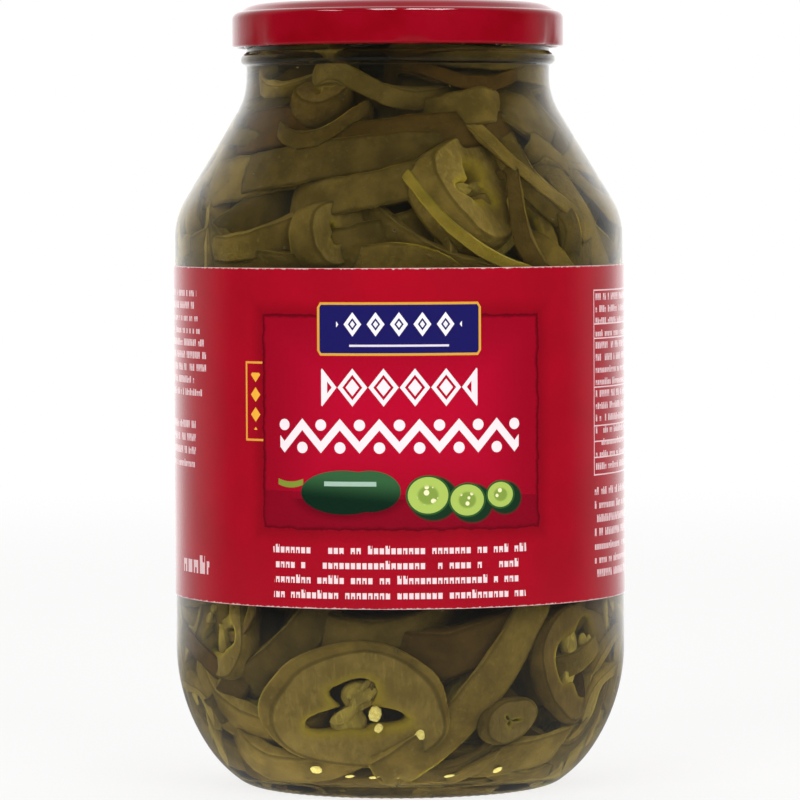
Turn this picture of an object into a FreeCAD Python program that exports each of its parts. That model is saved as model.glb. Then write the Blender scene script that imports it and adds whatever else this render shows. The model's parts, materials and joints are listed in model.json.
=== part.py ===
import FreeCAD, Part
import math
import os

# Large glass jar of pickled peppers, closed by a lugged twist-off lid.
# Millimetres and degrees. The origin is the centre of the base on the surface that the jar stands
# on, +Z is up and -Y is the front. Every round piece is an outline in the half plane
# (radius, height), drawn as tangent lines and arcs and turned about Z.

# ---- glass body ----
body_radius = 70.0           # outside of the straight side
wall = 3.2                   # side wall, and the heel and shoulder beside it
heel_height = 43.85          # the straight side begins here
heel_radius = 58.0           # slow upper curve of the heel
heel_turn = 34.0             # how far that curve turns under
toe_radius = 38.0            # quicker lower curve of the heel
corner_radius = 9.4          # rolls the toe in to the bearing ring
bearing_width = 2.4          # flat ring that the jar stands on
push_up = 4.6                # rise of the underside at its centre
floor_thickness = 6.0        # glass above the bearing ring
floor_corner_radius = 9.0    # inside corner between floor and toe
floor_crown = 2.2            # rise of the inside floor at its centre
shoulder_height = 170.9      # the straight side ends here
shoulder_radius = 21.9       # outward curve of the shoulder
neck_rise = 49.7             # from the shoulder's start to the neck's start
neck_curve = 22.1            # hollow curve that runs into the neck
neck_radius = 47.3           # outside of the neck, and of the finish under the lid
neck_wall = 3.9

# ---- finish: transfer bead, thread ramps and rim ----
bead_height = 5.1            # bead's middle above the neck's start
bead_radius = 2.1            # round of the bead
bead_turn = 70.0             # how steeply the bead's sides leave the neck
bead_fillet = 0.6
rim_radius = 1.4             # rounded lip, inside and outside
starts = 6                   # thread ramps, and lugs on the lid
thread_radius = 1.55         # round of a ramp, centred on the finish wall
thread_slope = 5.6           # climb of a ramp
thread_span = 52.0           # angle that a ramp covers between its rounded ends
thread_lead = 23.0           # angle from a ramp's low end to the lug under it

# ---- lid: drawn tinplate with a rolled edge ----
sheet = 0.24
curl_radius = 0.975          # outside of the rolled edge
curl_turn = 300.0
curl_gap = 0.85              # between the rolled edge and the thread crests
lid_gap = 1.2                # between the rolled edge and the bead below it
skirt_straight = 7.8         # from the curl's centre to the lid's shoulder
lid_shoulder_radius = 2.3
lid_shoulder_turn = 81.0
valley_radius = 1.0          # hollow between the lid's shoulder and its raised ring
ring_lean = 34.0             # slope of the raised ring's outer side
ring_slope = 1.5             # straight part of that side
ring_radius = 9.4            # crown of the raised ring, over the sealing channel
recess_turn = 55.0           # steepness of the step down to the panel
recess_top_radius = 2.0
recess_foot_radius = 1.6
panel_step_radius = 31.0     # raised middle of the panel
panel_step_turn = 35.0
panel_step_fillet = 1.0
lug_gap = 0.45               # between a lug and the finish wall
lug_round = 9.5              # plan radius of a lug's nose
lug_thickness = 1.0          # four sheets pressed flat
lug_play = 0.06              # between a lug and the ramp above it
lug_azimuth = 5.0            # first lug, to the right of the front

# ---- sealing compound, label and brine ----
seal_thickness = 0.9         # between the rim and the lid
seal_skirt = 0.7             # compound that wraps down over the lip
seal_inset = 0.2             # the ring stops this far inside both walls
paper = 0.2
label_above_heel = 15.9      # label's lower edge above the heel
label_below_shoulder = 8.95  # label's upper edge below the shoulder
overlap_span = 7.0           # glued overlap at the back
headspace = 9.5              # from the rim down to the brine

FRONT = -90.0
BACK = 90.0
UP = FreeCAD.Vector(0, 0, 1)
HERE = FreeCAD.Vector(0, 0, 0)


class Outline:
    """Tangent lines and arcs in the (radius, height) half plane.

    The line runs from a start point along a heading (0 is outwards, 90 is up). With an offset it
    draws the parallel line that far to its left, so one list of moves gives both faces of a sheet.
    """

    def __init__(self, radius, height, heading, offset=0.0):
        self.radius = radius
        self.height = height
        self.heading = heading
        self.offset = offset
        self.edges = []
        self.first = self.drawn()

    def drawn(self):
        side = math.radians(self.heading + 90.0)
        return FreeCAD.Vector(
            self.radius + self.offset * math.cos(side), 0, self.height + self.offset * math.sin(side)
        )

    def ahead(self, length):
        begin = self.drawn()
        course = math.radians(self.heading)
        self.radius += length * math.cos(course)
        self.height += length * math.sin(course)
        self.edges.append(Part.LineSegment(begin, self.drawn()).toShape())
        return self

    def turn_about(self, centre_radius, centre_height, turn):
        angle = math.radians(turn)
        across = self.radius - centre_radius
        above = self.height - centre_height
        self.radius = centre_radius + across * math.cos(angle) - above * math.sin(angle)
        self.height = centre_height + across * math.sin(angle) + above * math.cos(angle)
        self.heading += turn

    def bend(self, radius, turn):
        """Arc of the given radius: a positive turn goes left, a negative one right."""
        side = math.radians(self.heading + math.copysign(90.0, turn))
        centre = (self.radius + radius * math.cos(side), self.height + radius * math.sin(side))
        begin = self.drawn()
        self.turn_about(*centre, turn / 2)
        middle = self.drawn()
        self.turn_about(*centre, turn / 2)
        self.edges.append(Part.Arc(begin, middle, self.drawn()).toShape())
        return self

    def ease(self, run, rise):
        """Two equal arcs that leave and arrive level, run across and rise up."""
        radius = (run * run + rise * rise) / (4 * abs(rise))
        turn = math.copysign(math.degrees(math.asin(run / (2 * radius))), rise)
        return self.bend(radius, turn).bend(radius, -turn)

    def close(self, *corners):
        """Face between this line and the corners that lead back to its start."""
        points = [self.drawn()] + [FreeCAD.Vector(r, 0, z) for r, z in corners] + [self.first]
        lines = [Part.LineSegment(a, b).toShape() for a, b in zip(points, points[1:])]
        return Part.Face(Part.Wire(Part.__sortEdges__(self.edges + lines)))


def turned(face):
    return face.revolve(HERE, UP, 360)


def at_azimuth(shape, angle):
    placed = shape.copy()
    placed.rotate(HERE, UP, angle)
    return placed


# ---- places that several pieces share ----
bore_radius = neck_radius - neck_wall
neck_height = shoulder_height + neck_rise
bead_middle = neck_height + bead_height
bead_half = (bead_radius + bead_fillet) * math.sin(math.radians(bead_turn))
label_bottom = heel_height + label_above_heel
label_top = shoulder_height - label_below_shoulder
thread_crest = neck_radius + thread_radius
skirt_radius = thread_crest + curl_gap + 2 * curl_radius
seal_radius = (bore_radius + neck_radius) / 2


def heel_bottom(height, corner, thickness):
    """Where the heel ends: the radius at which its corner lies level, and the corner's turn."""
    toe_r = body_radius - heel_radius + (heel_radius - toe_radius) * math.cos(math.radians(heel_turn))
    toe_z = heel_height - (heel_radius - toe_radius) * math.sin(math.radians(heel_turn))
    drop = toe_z - (height + corner)
    reach = math.sqrt((toe_radius - thickness - corner) ** 2 - drop * drop)
    return toe_r + reach, 90.0 - math.degrees(math.atan2(drop, reach))


def draw_side(line, thickness, corner, corner_turn, hollow):
    """Heel, straight side, shoulder and neck, for the outside or, with a thickness, the inside."""
    line.bend(corner, corner_turn)
    line.bend(toe_radius - thickness, 90.0 - corner_turn - heel_turn)
    line.bend(heel_radius - thickness, heel_turn)
    line.ahead(shoulder_height - heel_height)
    out = shoulder_radius - thickness
    across = neck_radius + neck_curve - (body_radius - shoulder_radius)
    apart = math.hypot(across, neck_rise)
    lean = math.degrees(math.asin((out + hollow) / apart) - math.atan2(across, neck_rise))
    line.bend(out, lean)
    line.ahead(math.sqrt(apart**2 - (out + hollow) ** 2))
    return line.bend(hollow, -lean)


def draw_bead(line):
    line.bend(bead_fillet, -bead_turn)
    line.bend(bead_radius, 2 * bead_turn)
    return line.bend(bead_fillet, -bead_turn)


def glass_outside():
    bearing, corner_turn = heel_bottom(0.0, corner_radius, 0.0)
    line = Outline(0, push_up, 0.0)
    line.ease(bearing - bearing_width, -push_up)
    line.ahead(bearing_width)
    draw_side(line, 0.0, corner_radius, corner_turn, neck_curve)
    line.ahead(bead_height - bead_half)
    draw_bead(line)
    line.ahead(rim_height - rim_radius - bead_middle - bead_half)
    line.bend(rim_radius, 90.0)
    return turned(line.close((0, rim_height)))


def draw_hollow():
    """Inside of the glass, from the centre of the floor to the bottom of the bore."""
    edge, corner_turn = heel_bottom(floor_thickness, floor_corner_radius, wall)
    line = Outline(0, floor_thickness + floor_crown, 0.0)
    line.ease(edge, -floor_crown)
    return draw_side(line, wall, floor_corner_radius, corner_turn, neck_curve + neck_wall)


def glass_hollow():
    line = draw_hollow()
    line.ahead(rim_height - rim_radius - neck_height)
    line.bend(rim_radius, -90.0)
    return turned(line.close((0, rim_height)))


def lid_line(offset, curl=True):
    """Outer face of the lid, from its rolled edge to its centre, with the curl's centre at 0."""
    if curl:
        roll = math.radians(-curl_turn)
        line = Outline(
            skirt_radius - curl_radius + curl_radius * math.cos(roll),
            curl_radius * math.sin(roll),
            90.0 - curl_turn,
            offset,
        )
        line.bend(curl_radius, curl_turn)
    else:
        line = Outline(skirt_radius, 0, 90.0, offset)
    line.ahead(skirt_straight)
    line.bend(lid_shoulder_radius, lid_shoulder_turn)
    line.bend(valley_radius, 90.0 - lid_shoulder_turn - ring_lean)
    line.ahead(ring_slope)
    line.bend(ring_radius, ring_lean)
    line.bend(recess_top_radius, recess_turn)
    line.bend(recess_foot_radius, -recess_turn)
    line.ahead(line.radius - panel_step_radius)
    line.bend(panel_step_fillet, -panel_step_turn)
    line.bend(panel_step_fillet, panel_step_turn)
    line.ahead(line.radius)
    return line


def channel_depth():
    """Underside of the raised ring, over the middle of the rim, above the curl's centre."""
    line = Outline(skirt_radius, 0, 90.0)
    line.ahead(skirt_straight)
    line.bend(lid_shoulder_radius, lid_shoulder_turn)
    line.bend(valley_radius, 90.0 - lid_shoulder_turn - ring_lean)
    line.ahead(ring_slope)
    line.bend(ring_radius, ring_lean)
    crown = line.height - ring_radius
    return crown + math.sqrt((ring_radius - sheet) ** 2 - (seal_radius - line.radius) ** 2)


# ---- the lid hangs just clear of the bead, and the rim reaches up to its compound ----
curl_height = bead_middle + bead_half + lid_gap + curl_radius
lug_bottom = curl_height - curl_radius
lug_top = lug_bottom + lug_thickness
rim_height = curl_height + channel_depth() - seal_thickness
fill_height = rim_height - headspace


def thread_ramp():
    """One ramp: a piece of a tilted ring with a round nose at both ends, low end first."""
    ring = Part.makeTorus(neck_radius, thread_radius, HERE, UP, 0, 360, thread_span)
    nose = Part.makeSphere(thread_radius, HERE, UP, -90, 90, 180)
    tail = nose.copy()
    nose.rotate(HERE, UP, 180)
    nose.translate(FreeCAD.Vector(neck_radius, 0, 0))
    tail.translate(FreeCAD.Vector(neck_radius, 0, 0))
    tail.rotate(HERE, UP, thread_span)
    ramp = ring.fuse([nose, tail])
    middle = thread_span / 2
    ramp.rotate(HERE, UP, -middle)
    ramp.rotate(HERE, FreeCAD.Vector(1, 0, 0), thread_slope)
    from_middle = math.radians(thread_lead - middle)
    at_lug = neck_radius * math.tan(math.radians(thread_slope)) * math.sin(from_middle)
    ramp.translate(FreeCAD.Vector(0, 0, lug_top + lug_play + thread_radius - at_lug))
    ramp.rotate(HERE, UP, middle - thread_lead)
    return ramp


def spread(shape):
    """The shape at each lug's azimuth."""
    return [at_azimuth(shape, FRONT + lug_azimuth + 360.0 / starts * n) for n in range(starts)]


def make_jar():
    glass = glass_outside().cut(glass_hollow())
    core = Part.makeCylinder((neck_radius + bore_radius) / 2, rim_height)
    ramps = [ramp.cut(core) for ramp in spread(thread_ramp())]
    return glass.fuse(ramps)


def make_lug():
    """Tongue pressed from the rolled edge: a lens in plan, rounded where it meets the ramp."""
    reach = neck_radius + lug_gap
    disc = Part.makeCylinder(lug_round, lug_thickness, FreeCAD.Vector(reach + lug_round, 0, lug_bottom))
    band = Part.makeCylinder(skirt_radius - curl_radius, lug_thickness, FreeCAD.Vector(0, 0, lug_bottom))
    lug = disc.common(band)
    noses = [e for e in lug.Edges if is_nose(e, reach)]
    return lug.makeFillet(lug_thickness * 0.4, noses)


def is_nose(edge, reach):
    """Is this one of the two edges that face the glass?"""
    level = edge.BoundBox.ZLength < lug_thickness / 2
    middle = edge.valueAt((edge.FirstParameter + edge.LastParameter) / 2)
    return level and math.hypot(middle.x, middle.y) < reach + lug_thickness / 2


def make_lid():
    outer = lid_line(0.0)
    inner = lid_line(sheet)
    ends = [
        Part.LineSegment(outer.first, inner.first).toShape(),
        Part.LineSegment(outer.drawn(), inner.drawn()).toShape(),
    ]
    section = Part.Face(Part.Wire(Part.__sortEdges__(outer.edges + inner.edges + ends)))
    shell = turned(section)
    shell.translate(FreeCAD.Vector(0, 0, curl_height))
    return shell.fuse(spread(make_lug()))


def make_seal():
    """Compound ring that fills the channel between the lid and the rounded rim."""
    under = lid_line(sheet, curl=False)
    inside = turned(under.close((0, 0)))
    inside.translate(FreeCAD.Vector(0, 0, curl_height))
    bottom = rim_height - seal_skirt
    deep = lid_shoulder_radius + ring_radius
    outer = Part.makeCylinder(neck_radius - seal_inset, deep, FreeCAD.Vector(0, 0, bottom))
    inner = Part.makeCylinder(bore_radius + seal_inset, deep, FreeCAD.Vector(0, 0, bottom))
    ring = outer.cut(inner).common(inside)
    return ring.cut(glass_outside().cut(glass_hollow()))


def band(inner, outer, bottom, top, span=360.0):
    """Part of a tube, centred on the back."""
    tube = Part.makeCylinder(outer, top - bottom, FreeCAD.Vector(0, 0, bottom), UP, span)
    core = Part.makeCylinder(inner, top - bottom, FreeCAD.Vector(0, 0, bottom))
    return at_azimuth(tube.cut(core), BACK - span / 2)


def make_label():
    sleeve = band(body_radius, body_radius + paper, label_bottom, label_top)
    lap = band(body_radius + paper, body_radius + 2 * paper, label_bottom, label_top, overlap_span)
    return sleeve.fuse(lap)


def make_brine():
    line = draw_hollow()
    line.ahead(fill_height - neck_height)
    return turned(line.close((0, fill_height)))


nodes = {
    "jar": make_jar(),
    "lid": make_lid(),
    "seal": make_seal(),
    "label": make_label(),
    "brine": make_brine(),
}

os.makedirs("parts", exist_ok=True)
for name, shape in nodes.items():
    solids = shape.Solids
    if len(solids) != 1 or not shape.isValid():
        raise RuntimeError(f"{name}: {len(solids)} solids, valid {shape.isValid()}")
    solids[0].exportStep(f"parts/{name}.step")
    box = shape.BoundBox
    print(f"{name:6s} {shape.Volume / 1000:8.1f} cm3  z {box.ZMin:7.2f} to {box.ZMax:7.2f}  width {box.XLength:6.2f}")
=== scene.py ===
# %% [markdown]
# # A catering jar of sliced green chillies
# The object is a glass jar, 140 mm across, closed by a red twist-off lid and wrapped in a red
# paper label. It is filled with chilli slices in brine. The solids come from the CAD model: each
# piece below stands in the same place and only adds what a solid can't show, such as clear glass,
# print and the slices themselves.

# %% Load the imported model
import bmesh
import bpy
import json
import math
import numpy as np
from collections import namedtuple
from mathutils import Matrix, Quaternion, Vector

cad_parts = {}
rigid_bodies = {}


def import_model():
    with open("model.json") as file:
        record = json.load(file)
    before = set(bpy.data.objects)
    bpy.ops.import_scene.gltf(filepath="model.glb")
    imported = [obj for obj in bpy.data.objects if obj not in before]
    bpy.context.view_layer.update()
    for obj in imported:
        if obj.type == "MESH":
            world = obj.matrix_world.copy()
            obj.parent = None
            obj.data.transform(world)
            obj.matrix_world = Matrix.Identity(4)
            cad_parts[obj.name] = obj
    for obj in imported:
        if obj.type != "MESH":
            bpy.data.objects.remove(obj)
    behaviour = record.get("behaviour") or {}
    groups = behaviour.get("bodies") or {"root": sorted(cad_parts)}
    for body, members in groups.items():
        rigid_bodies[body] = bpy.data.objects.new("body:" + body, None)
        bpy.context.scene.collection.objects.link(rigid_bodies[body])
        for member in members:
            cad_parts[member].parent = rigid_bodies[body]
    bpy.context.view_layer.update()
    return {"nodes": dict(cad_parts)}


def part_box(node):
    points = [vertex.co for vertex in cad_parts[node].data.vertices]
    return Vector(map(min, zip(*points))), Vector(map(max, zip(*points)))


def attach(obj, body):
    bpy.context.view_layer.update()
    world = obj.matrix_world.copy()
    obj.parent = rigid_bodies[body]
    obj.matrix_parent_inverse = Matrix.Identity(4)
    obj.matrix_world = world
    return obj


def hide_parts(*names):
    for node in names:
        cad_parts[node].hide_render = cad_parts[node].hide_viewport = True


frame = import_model()
JAR_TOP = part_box("jar")[1].z * 1000
LID_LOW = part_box("lid")[0].z * 1000
LABEL_LOW, LABEL_TOP = (corner.z * 1000 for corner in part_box("label"))
FLOOR_LOW, FILL = (corner.z * 1000 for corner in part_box("brine"))
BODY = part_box("jar")[1].x * 1000
LID_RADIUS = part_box("lid")[1].x * 1000
print(f"jar {BODY:.2f} mm radius, {JAR_TOP:.2f} high; lid from {LID_LOW:.2f}; brine to {FILL:.2f}")

# %% [markdown]
# ## Paints and shader sums
# Colours are easiest to choose as a paint chart gives them, from 0 to 255, while shaders want
# linear light. A small class wraps a shader socket, so that a pattern can be written as a sum:
# adding two values adds a Math node. A second class holds the node tree and makes every other node.
# Colours are blended by Mix nodes, because a Math node would turn them grey.

# %% Paint chart and sums
def paint(red, green, blue):
    """A paint chart colour in linear light."""
    shares = [level / 255 for level in (red, green, blue)]
    return tuple(s / 12.92 if s < 0.04045 else ((s + 0.055) / 1.055) ** 2.4 for s in shares) + (1.0,)


class Value:
    """A shader socket that can be used in sums."""

    def __init__(self, finish, socket):
        self.finish = finish
        self.socket = socket

    def sum(self, operation, *terms):
        values = dict(enumerate(terms))
        return self.finish.node("ShaderNodeMath", {"operation": operation}, values)

    def __add__(self, other):
        return self.sum("ADD", self, other)

    def __sub__(self, other):
        return self.sum("SUBTRACT", self, other)

    def __rsub__(self, other):
        return self.sum("SUBTRACT", other, self)

    def __mul__(self, other):
        return self.sum("MULTIPLY", self, other)

    def __truediv__(self, other):
        return self.sum("DIVIDE", self, other)

    def __abs__(self):
        return self.sum("ABSOLUTE", self)

    def __lt__(self, other):
        return self.sum("LESS_THAN", self, other)

    def __gt__(self, other):
        return self.sum("GREATER_THAN", self, other)

    __radd__ = __add__
    __rmul__ = __mul__

    def larger(self, other):
        return self.sum("MAXIMUM", self, other)

    def smaller(self, other):
        return self.sum("MINIMUM", self, other)

    def root(self):
        return self.sum("SQRT", self)

    def floor(self):
        return self.sum("FLOOR", self)

    def repeat(self, pitch):
        """The distance from the nearest of a row of marks, one pitch apart."""
        return self.sum("PINGPONG", self, pitch / 2)

    def step(self, low, high):
        """0 up to low, 1 from high, and a soft rise between."""
        settings = {"interpolation_type": "SMOOTHSTEP"}
        return self.finish.node("ShaderNodeMapRange", settings, {0: self, 1: low, 2: high})


print("half grey in linear light:", round(paint(128, 128, 128)[0], 3))


# %% Finishes, built from nodes
class Finish:
    """A material, or the world, built from nodes."""

    def __init__(self, owner):
        owner.use_nodes = True
        self.owner = owner
        self.tree = owner.node_tree
        self.tree.nodes.clear()

    def node(self, kind, settings=None, values=None, output=0):
        made = self.tree.nodes.new(kind)
        for name, setting in (settings or {}).items():
            if name == "stops":
                self.set_stops(made.color_ramp, setting)
            else:
                setattr(made, name, setting)
        for name, value in (values or {}).items():
            if isinstance(value, Value):
                self.tree.links.new(value.socket, made.inputs[name])
            else:
                made.inputs[name].default_value = value
        return Value(self, made.outputs[output])

    def set_stops(self, ramp, stops):
        while len(ramp.elements) > 1:
            ramp.elements.remove(ramp.elements[-1])
        for number, (place, colour) in enumerate(stops):
            stop = ramp.elements[0] if number == 0 else ramp.elements.new(place)
            stop.position = place
            stop.color = colour

    def mix(self, share, first, second):
        """A colour between two."""
        settings = {"data_type": "RGBA"}
        return self.node("ShaderNodeMix", settings, {0: share, 6: first, 7: second}, 2)

    def blend(self, share, first, second):
        """A shader between two."""
        return self.node("ShaderNodeMixShader", None, {0: share, 1: first, 2: second})

    def place(self, stretch=(1, 1, 1)):
        """Object coordinates in millimetres, stretched."""
        where = self.node("ShaderNodeTexCoord", output=3)
        return self.node("ShaderNodeMapping", None, {0: where, 3: [1000 * s for s in stretch]})

    def noise(self, where, grain, detail=3.0, rough=0.5, warp=0.0):
        """Cloudy pattern from 0 to 1, with clouds about grain millimetres across."""
        values = {"Vector": where, "Scale": 1 / grain, "Detail": detail}
        values.update({"Roughness": rough, "Distortion": warp})
        return self.node("ShaderNodeTexNoise", None, values)

    def read(self, name):
        """The number stored under this name at each point."""
        return self.node("ShaderNodeAttribute", {"attribute_name": name}, None, 2)

    def bump(self, height, depth):
        """A relief, depth metres between height 0 and 1."""
        return self.node("ShaderNodeBump", None, {"Height": height, "Distance": depth, "Strength": 1.0})

    def ray(self, kind):
        """1 where the light path is of this kind."""
        return self.node("ShaderNodeLightPath", output=kind)

    def split(self, vector):
        """The three numbers of a vector."""
        parts = self.node("ShaderNodeSeparateXYZ", None, {0: vector}).socket.node
        return [Value(self, socket) for socket in parts.outputs]

    def surface(self, colour, rough, bends=1.5, more=None):
        """Ends in one Principled shader."""
        values = {"Base Color": colour, "Roughness": rough, "IOR": bends, **(more or {})}
        return self.done(self.node("ShaderNodeBsdfPrincipled", None, values))

    def done(self, shader, volume=None):
        kind = "World" if self.owner == WORLD else "Material"
        out = self.tree.nodes.new("ShaderNodeOutput" + kind)
        self.tree.links.new(shader.socket, out.inputs["Surface"])
        if volume:
            self.tree.links.new(volume.socket, out.inputs["Volume"])
        return self.owner


def new_finish(name):
    return Finish(bpy.data.materials.new(name))


WORLD = bpy.data.worlds.new("studio")
bpy.context.scene.world = WORLD
print("world:", WORLD.name)

# %% [markdown]
# ## Camera
# A long lens stands 1.6 m in front of the jar, a little above its shoulder, so that the jar's sides
# stay nearly upright. The camera leans by a quarter of a degree, as a hand-set one does.

# %% Set up the camera
EYE = Vector((0.0002, -1.6, 0.1874))
LOOKED_AT = Vector((0.0002, 0.0, 0.11956))
LEAN = math.radians(-0.264)


def add_object(name, data):
    made = bpy.data.objects.new(name, data)
    bpy.context.scene.collection.objects.link(made)
    return made


camera = add_object("camera", bpy.data.cameras.new("camera"))
camera.data.lens = 230.7
camera.data.sensor_width = 36.0
camera.data.clip_start = 0.05
camera.location = EYE
camera.rotation_mode = "QUATERNION"
camera.rotation_quaternion = (LOOKED_AT - EYE).to_track_quat("-Z", "Y") @ Quaternion((0, 0, 1), LEAN)
bpy.context.scene.camera = camera
bpy.context.scene.view_settings.view_transform = "Standard"
print("camera", tuple(camera.location))

# %% [markdown]
# ## Studio
# Clear glass is drawn by what stands round it. A mirror that looks behind the jar finds a white
# studio, which whitens the glass and the paper towards their edges. One that looks to the front
# finds it dark, so that the slices show through. The world is a ramp from dark to white, by how far
# behind the jar a ray goes. Light that falls on rough things comes from a softer version of it.

# %% Build the world
# how far behind the jar a mirror looks, and how bright it finds the studio there
MIRRORED = [
    (0.0, 0.03), (0.1, 0.05), (0.36, 0.3), (0.59, 0.5), (0.755, 0.85), (0.86, 1.35), (1.0, 1.4),
]
WHITE = (1, 1, 1, 1)


def mirrored_light(finish, kind, behind, near=None):
    """What a mirror finds. near is a share and a colour for what stands close to the jar."""
    most = MIRRORED[-1][1]
    stops = [(place, (level / most, level / most, level / most, 1)) for place, level in MIRRORED]
    found = finish.node("ShaderNodeValToRGB", {"stops": stops}, {0: behind})
    if near:
        found = finish.mix(near[0], found, near[1])
    return finish.node(kind, None, {0: found, 1: most})


world = Finish(WORLD)
behind = world.split(world.node("ShaderNodeTexCoord", output=0))[1]
seen = world.node("ShaderNodeBackground", None, {0: WHITE, 1: 1.0})
mirrored = mirrored_light(world, "ShaderNodeBackground", behind)
level = behind.step(-0.7, 0.5) * 0.9 + 0.26
soft = world.node("ShaderNodeBackground", None, {0: (1, 0.99, 0.97, 1), 1: level})
mirror_ray = world.ray("Is Glossy Ray")
direct = world.ray("Is Camera Ray").larger(world.ray("Is Transmission Ray"))
world.done(world.blend(direct.larger(mirror_ray), soft, world.blend(mirror_ray, seen, mirrored)))
WORLD.cycles.sampling_method = "NONE"
print("world:", len(WORLD.node_tree.nodes), "nodes")

# %% [markdown]
# ## Lamps
# Two wide lamps light the jar from the front, left and right. Two more stand beside it and light
# only what is sunk in the brine, because slices seen through the edge of the jar lie far round its
# side. Four narrow strips overhead are mirrored by the lid alone, as the streaks on its shoulder,
# and a faint glow lies under the base, where a white table throws light back up. Light linking
# keeps each lamp to its pieces; the lists are filled once those pieces are made.

# %% Hang the lamps
LAMP_AWAY = 1.5
LAMP_SIZE = 1.0
MIDDLE = Vector((0, 0, 0.12))


def round_jar(azimuth, reach=1.0, height=0.0):
    """A point at this reach from the jar's axis; azimuth 0 is the front, and right is positive."""
    side = math.radians(azimuth)
    return reach * math.sin(side), -reach * math.cos(side), height


def hang_lamp(name, azimuth, height, power, away=LAMP_AWAY, size=LAMP_SIZE):
    """A square lamp that faces the jar."""
    lamp = add_object(name, bpy.data.lights.new(name, "AREA"))
    lamp.data.size = size
    lamp.data.energy = power
    lamp.location = round_jar(azimuth, away, height)
    lamp.rotation_mode = "QUATERNION"
    lamp.rotation_quaternion = (MIDDLE - lamp.location).to_track_quat("-Z", "Y")
    lamp.visible_glossy = False
    lamp.visible_transmission = False
    lamp.visible_camera = False
    return lamp


hang_lamp("left_lamp", -30, 0.9, 11.5)
hang_lamp("right_lamp", 32, 0.8, 10.5)
edge_lamps = [hang_lamp(f"edge_lamp_{azimuth}", azimuth, 0.5, 19.0) for azimuth in (-104, 104)]
strips = []
STRIP_HEIGHT = 1.7
for place, wide, power in ((-0.86, 0.14, 2.8), (-0.16, 0.26, 6.0), (0.21, 0.22, 5.2), (0.49, 0.24, 5.6)):
    strip = hang_lamp(f"strip_{place}", 0, STRIP_HEIGHT, power, 0.0, wide)
    strip.data.shape = "RECTANGLE"
    strip.data.size_y = 0.6
    strip.location = (place, -0.25, STRIP_HEIGHT)
    strip.rotation_quaternion = (1, 0, 0, 0)
    strip.visible_glossy = True
    strip.visible_diffuse = False
    strips.append(strip)
under = hang_lamp("table_glow", 0, 0.0004, 0.1, 0.0, 0.13)
under.rotation_quaternion = Quaternion((1, 0, 0), math.pi)


def light_only(lamps, name, pieces):
    """Keeps these lamps to these pieces."""
    lit = bpy.data.collections.new(name)
    for piece in pieces:
        lit.objects.link(piece)
    for lamp in lamps:
        lamp.light_linking.receiver_collection = lit


print("lamps:", [o.name for o in bpy.data.objects if o.type == "LIGHT"])

# %% [markdown]
# ## Floor
# A pale board that runs far past the view. Seen directly it glows white but keeps the jar's shadow.
# A mirror finds on it the same ramp as in the world, so that no line shows in the glass where the
# floor ends and the studio begins. Close to the jar it finds a painted reflection instead of the
# board: a fixed grey, dark in front of the jar and pale behind it.

# %% Lay the floor
FLOOR_HALF = 30
corners = [(-FLOOR_HALF, -FLOOR_HALF, 0), (FLOOR_HALF, -FLOOR_HALF, 0)]
corners += [(FLOOR_HALF, FLOOR_HALF, 0), (-FLOOR_HALF, FLOOR_HALF, 0)]
floor_mesh = bpy.data.meshes.new("floor")
floor_mesh.from_pydata(corners, [], [(0, 1, 2, 3)])
floor = add_object("floor", floor_mesh)
pale = new_finish("pale_floor")
board = pale.node("ShaderNodeBsdfDiffuse", None, {0: (0.9, 0.9, 0.9, 1)})
glow = pale.node("ShaderNodeEmission", None, {0: WHITE, 1: 1.0})
across, away, _ = pale.split(pale.node("ShaderNodeTexCoord", output=3))
reach = across * across + away * away
# painted reflection near the jar: dark grey in front, pale grey behind, in place of the board
near_colour = pale.mix(away.step(0.1, 0.6), (0.17, 0.168, 0.164, 1), (0.71, 0.71, 0.71, 1))
near = (1 - reach.step(0.12, 1.0), near_colour)
mirrored = mirrored_light(pale, "ShaderNodeEmission", away / (reach + 0.03).root(), near)
direct = pale.ray("Is Camera Ray").larger(pale.ray("Is Transmission Ray"))
seen = pale.blend(direct * (reach.step(0.1, 2.5) * 0.25 + 0.75), board, glow)
floor_mesh.materials.append(pale.done(pale.blend(pale.ray("Is Glossy Ray"), seen, mirrored)))
print("floor laid")

# %% [markdown]
# ## Outlines and turning
# Glass jars are blown in a mould that was cut on a lathe, and lids are pressed round a turned tool.
# So each of these pieces starts as an outline of tangent lines and arcs, which is then turned about
# the upright axis. The outlines use the CAD model's own dimensions.

# %% The outline pen and the lathe
class Outline:
    """A pen in the half plane of radius and height, in millimetres. Heading 0 is outwards, 90 up."""

    def __init__(self, radius, height, heading, aside=0.0):
        self.radius = radius
        self.height = height
        self.heading = heading
        self.aside = aside
        self.points = []
        self.mark()

    def mark(self):
        side = math.radians(self.heading + 90)
        across = self.radius + self.aside * math.cos(side)
        self.points.append((across, self.height + self.aside * math.sin(side)))

    def ahead(self, length, steps=1):
        course = math.radians(self.heading)
        for _ in range(steps):
            self.radius += length / steps * math.cos(course)
            self.height += length / steps * math.sin(course)
            self.mark()
        return self

    def bend(self, radius, turn, step=5.0):
        """Arc: a positive turn goes left."""
        side = math.radians(self.heading + math.copysign(90, turn))
        centre = complex(self.radius + radius * math.cos(side), self.height + radius * math.sin(side))
        steps = max(2, math.ceil(abs(turn) / step))
        for _ in range(steps):
            swing = np.exp(1j * math.radians(turn / steps))
            swung = centre + (complex(self.radius, self.height) - centre) * swing
            self.radius = swung.real
            self.height = swung.imag
            self.heading += turn / steps
            self.mark()
        return self

    def ease(self, run, rise):
        """Two equal arcs that leave and arrive level."""
        radius = (run * run + rise * rise) / (4 * abs(rise))
        turn = math.copysign(math.degrees(math.asin(run / (2 * radius))), rise)
        return self.bend(radius, turn, 2.0).bend(radius, -turn, 2.0)


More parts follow.
